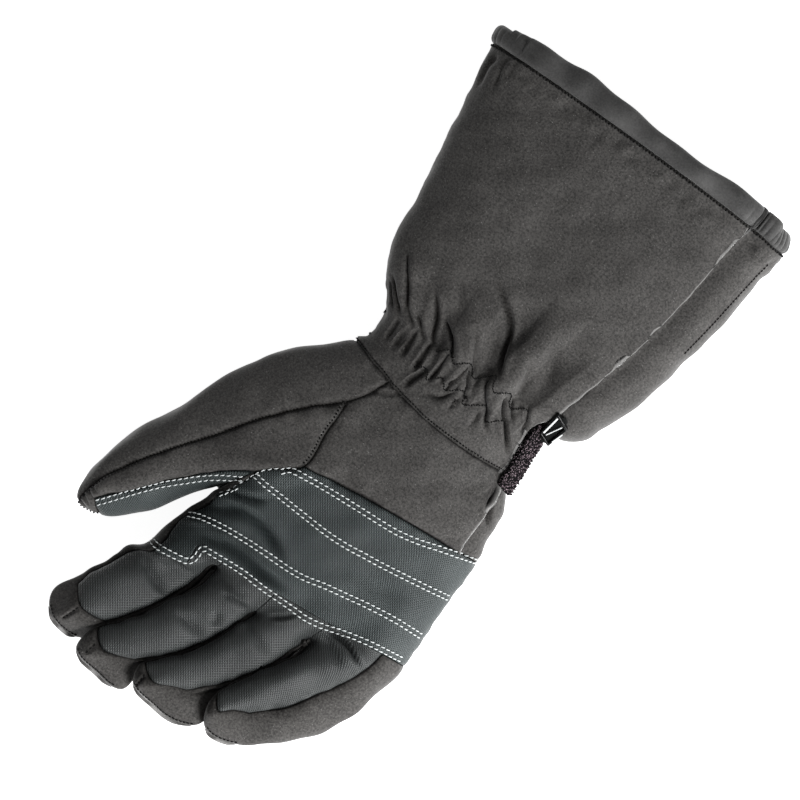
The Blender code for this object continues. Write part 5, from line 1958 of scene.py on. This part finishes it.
def tubeAlong(line, radius, sides):
    # A closed tube through these points, thin at both ends
    points = []
    for number, spot in enumerate(line):
        way = (line[min(number + 1, len(line) - 1)] - line[max(number - 1, 0)]).normalized()
        side = way.cross(Vector((0, 0, 1))).normalized()
        up = side.cross(way)
        share = number / (len(line) - 1)
        fat = radius * max(tipRims["endSize"], min(1.0, tipRims["taper"] * min(share, 1 - share)))
        for angle in turns(sides):
            points.append(tuple(spot + (side * math.cos(angle) + up * math.sin(angle)) * fat))
    points = np.array(points)
    return points, outward(points, tubeFaces(len(line), sides))


def addTipRims(lines, materials):
    draws = np.random.default_rng(lumps["seed"] + 3)
    middle, uneven = tipRims["paintedHighlight"]
    for finger, (edge, _) in zip(fingers, lines):
        points, faces = tubeAlong(edge, tipRims["radius"], tipRims["sides"])
        made = meshObject(finger + "TipRim", points, faces, materials["softshell"])
        # painted highlight in patches along the rim
        patchy = middle + uneven * waveNoise(points, tipRims["patch"], draws)
        pointValues(made.data, "paintedHighlight", np.clip(patchy, *tipRims["paintedHighlightRange"]).astype(np.float32))
        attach(made, "root")


def backRow(shell, along):
    # A line round the back of the wrist, along one row of the cage
    first, _, _, last = backGathers["places"]
    near = abs(shell.along - along) < blackRows["backReach"]
    near = np.nonzero(near & (shell.place > first) & (shell.place < last))[0]
    order = near[np.argsort(shell.place[near])]
    columns = np.linspace(shell.place[order[0]], shell.place[order[-1]], blackRows["backPoints"])
    return alongPath(columns, shell.place[order], shell.points[order])


# Straight above, as in the photograph, and so far away that the picture has hardly any perspective
camera = {
    "sensor": 36.0,
    "distance": 4.00,
    "frameWidth": 0.400,
    "plane": 0.025,       # height at which the picture is as wide as that
    "middle": (0.01345, -0.05495),
}


def addCamera():
    data = bpy.data.cameras.new("photoCamera")
    made = bpy.data.objects.new("photoCamera", data)
    bpy.context.scene.collection.objects.link(made)
    apart = camera["distance"] - camera["plane"]
    data.sensor_width = camera["sensor"]
    data.lens = camera["sensor"] * apart / camera["frameWidth"]
    half = math.sqrt(0.5)
    turn = Matrix(((-half, half, 0), (-half, -half, 0), (0, 0, 1)))
    made.matrix_world = Matrix.Translation((*camera["middle"], camera["distance"])) @ turn.to_4x4()
    bpy.context.scene.camera = made


light = {
    "floorSize": 6.0,
    "floorColour": (0.9, 0.9, 0.9),
    "floorRoughness": 0.8,
    "floorGlow": 0.90,
    "floorBelow": 0.0001,
    "world": 0.19,
    "lamps": [
        # name, watts, size, place
        ("keyLamp", 43.0, 0.7, (-1.3, 0.15, 1.1)),
        ("rimLamp", 20.0, 0.8, (-1.5, 0.1, 0.24)),
    ],
}


def addLight():
    world = bpy.data.worlds.new("studio")
    world.use_nodes = True
    world.node_tree.nodes["Background"].inputs["Color"].default_value = (1, 1, 1, 1)
    world.node_tree.nodes["Background"].inputs["Strength"].default_value = light["world"]
    bpy.context.scene.world = world
    for name, watts, size, place in light["lamps"]:
        data = bpy.data.lights.new(name, "AREA")
        data.energy = watts
        data.size = size
        lamp = bpy.data.objects.new(name, data)
        lamp.location = place
        lamp.rotation_euler = (-Vector(place)).to_track_quat("-Z", "Y").to_euler()
        bpy.context.scene.collection.objects.link(lamp)
    size = light["floorSize"] / 2
    corners = np.array([(-size, -size, 0), (size, -size, 0), (size, size, 0), (-size, size, 0)])
    white = plainMaterial("whiteFloor", light["floorColour"], light["floorRoughness"])
    shader = white.node_tree.nodes["Principled BSDF"]
    shader.inputs["Emission Color"].default_value = (1, 1, 1, 1)
    shader.inputs["Emission Strength"].default_value = light["floorGlow"]
    floor = meshObject("studioFloor", corners, [[0, 1, 2, 3]], white)
    floor.location.z = cadBox[0].z - light["floorBelow"]
    bpy.context.scene.view_settings.view_transform = "Standard"


addCamera()
addLight()
materials = {
    "softshell": softshellMaterial(),
    "woven_nylon": wovenMaterial(),
    "hem_cloth": hemMaterial(),
    "knit_webbing": knitMaterial(),
    "buckle_plastic": plasticMaterial(),
}
whiteThread = threadMaterial("whiteThread", *threadLook["white"])
blackThread = threadMaterial("blackThread", *threadLook["black"])
cage = Cage()
buildHand(cage)
buildThumb(cage)
for place, finger in enumerate(fingers):
    buildFinger(cage, finger, place)
fitToLimit(cage)
for point in cage.points:
    point.y -= palm["length"] * palm["centre"]
print("glove: cage of", len(cage.faces), "quads")
shell = Shell(smoothShell(cage))
foldCuff(shell)
gatherBack(shell)
pressSeams(shell)
pressCreases(shell)
addLumps(shell)
print("glove: cloth folded,", len(shell.points), "points")
normals = shell.normals()
for number, node in enumerate(panelNames):
    panelCloth(shell, number, node, normals, materials)
print("glove: cloth panels made")
hemLine = cuffHem(shell, normals, materials)
wristStrap(materials)
ladderBuckle(materials)
clothTree = BVHTree.FromPolygons(shell.points.tolist(), shell.faces.tolist())
whitePaths = []
for pixels in whiteRows["rows"]:
    whitePaths.append(ontoCloth(clothTree, pixels))
    whitePaths.append(ontoCloth(clothTree, pixels, whiteRows["apart"]))
for pixels in whiteRows["single"]:
    whitePaths.append(ontoCloth(clothTree, pixels))
sew("whiteStitches", whitePaths, clothTree, whiteThread, "white")
seamPaths = []
for first, second, aside in blackRows["seams"]:
    seamPaths += seamPath(shell, clothTree, first, second, aside)
sew("blackSeamStitches", seamPaths, clothTree, blackThread, "seam")
gatherPaths = [ontoCloth(clothTree, pixels) for pixels in blackRows["gathers"]]
gatherPaths += [backRow(shell, along) for along in blackRows["backRows"]]
sew("blackGatherStitches", gatherPaths, clothTree, blackThread, "gather")
rims = rimLines(clothTree)
addTipRims(rims, materials)
tipPaths = [ontoCloth(clothTree, pixels) for pixels in blackRows["tips"] + blackRows["outline"]]
for _, seam in rims:
    spots = [dropped(clothTree, spot.x, spot.y) for spot in seam]
    tipPaths.append([spot for spot in spots if spot is not None])
sew("blackTipStitches", tipPaths, clothTree, blackThread, "tip")
sew("hemStitches", [hemLine], clothTree, blackThread, "hem")
print("glove: sewn")
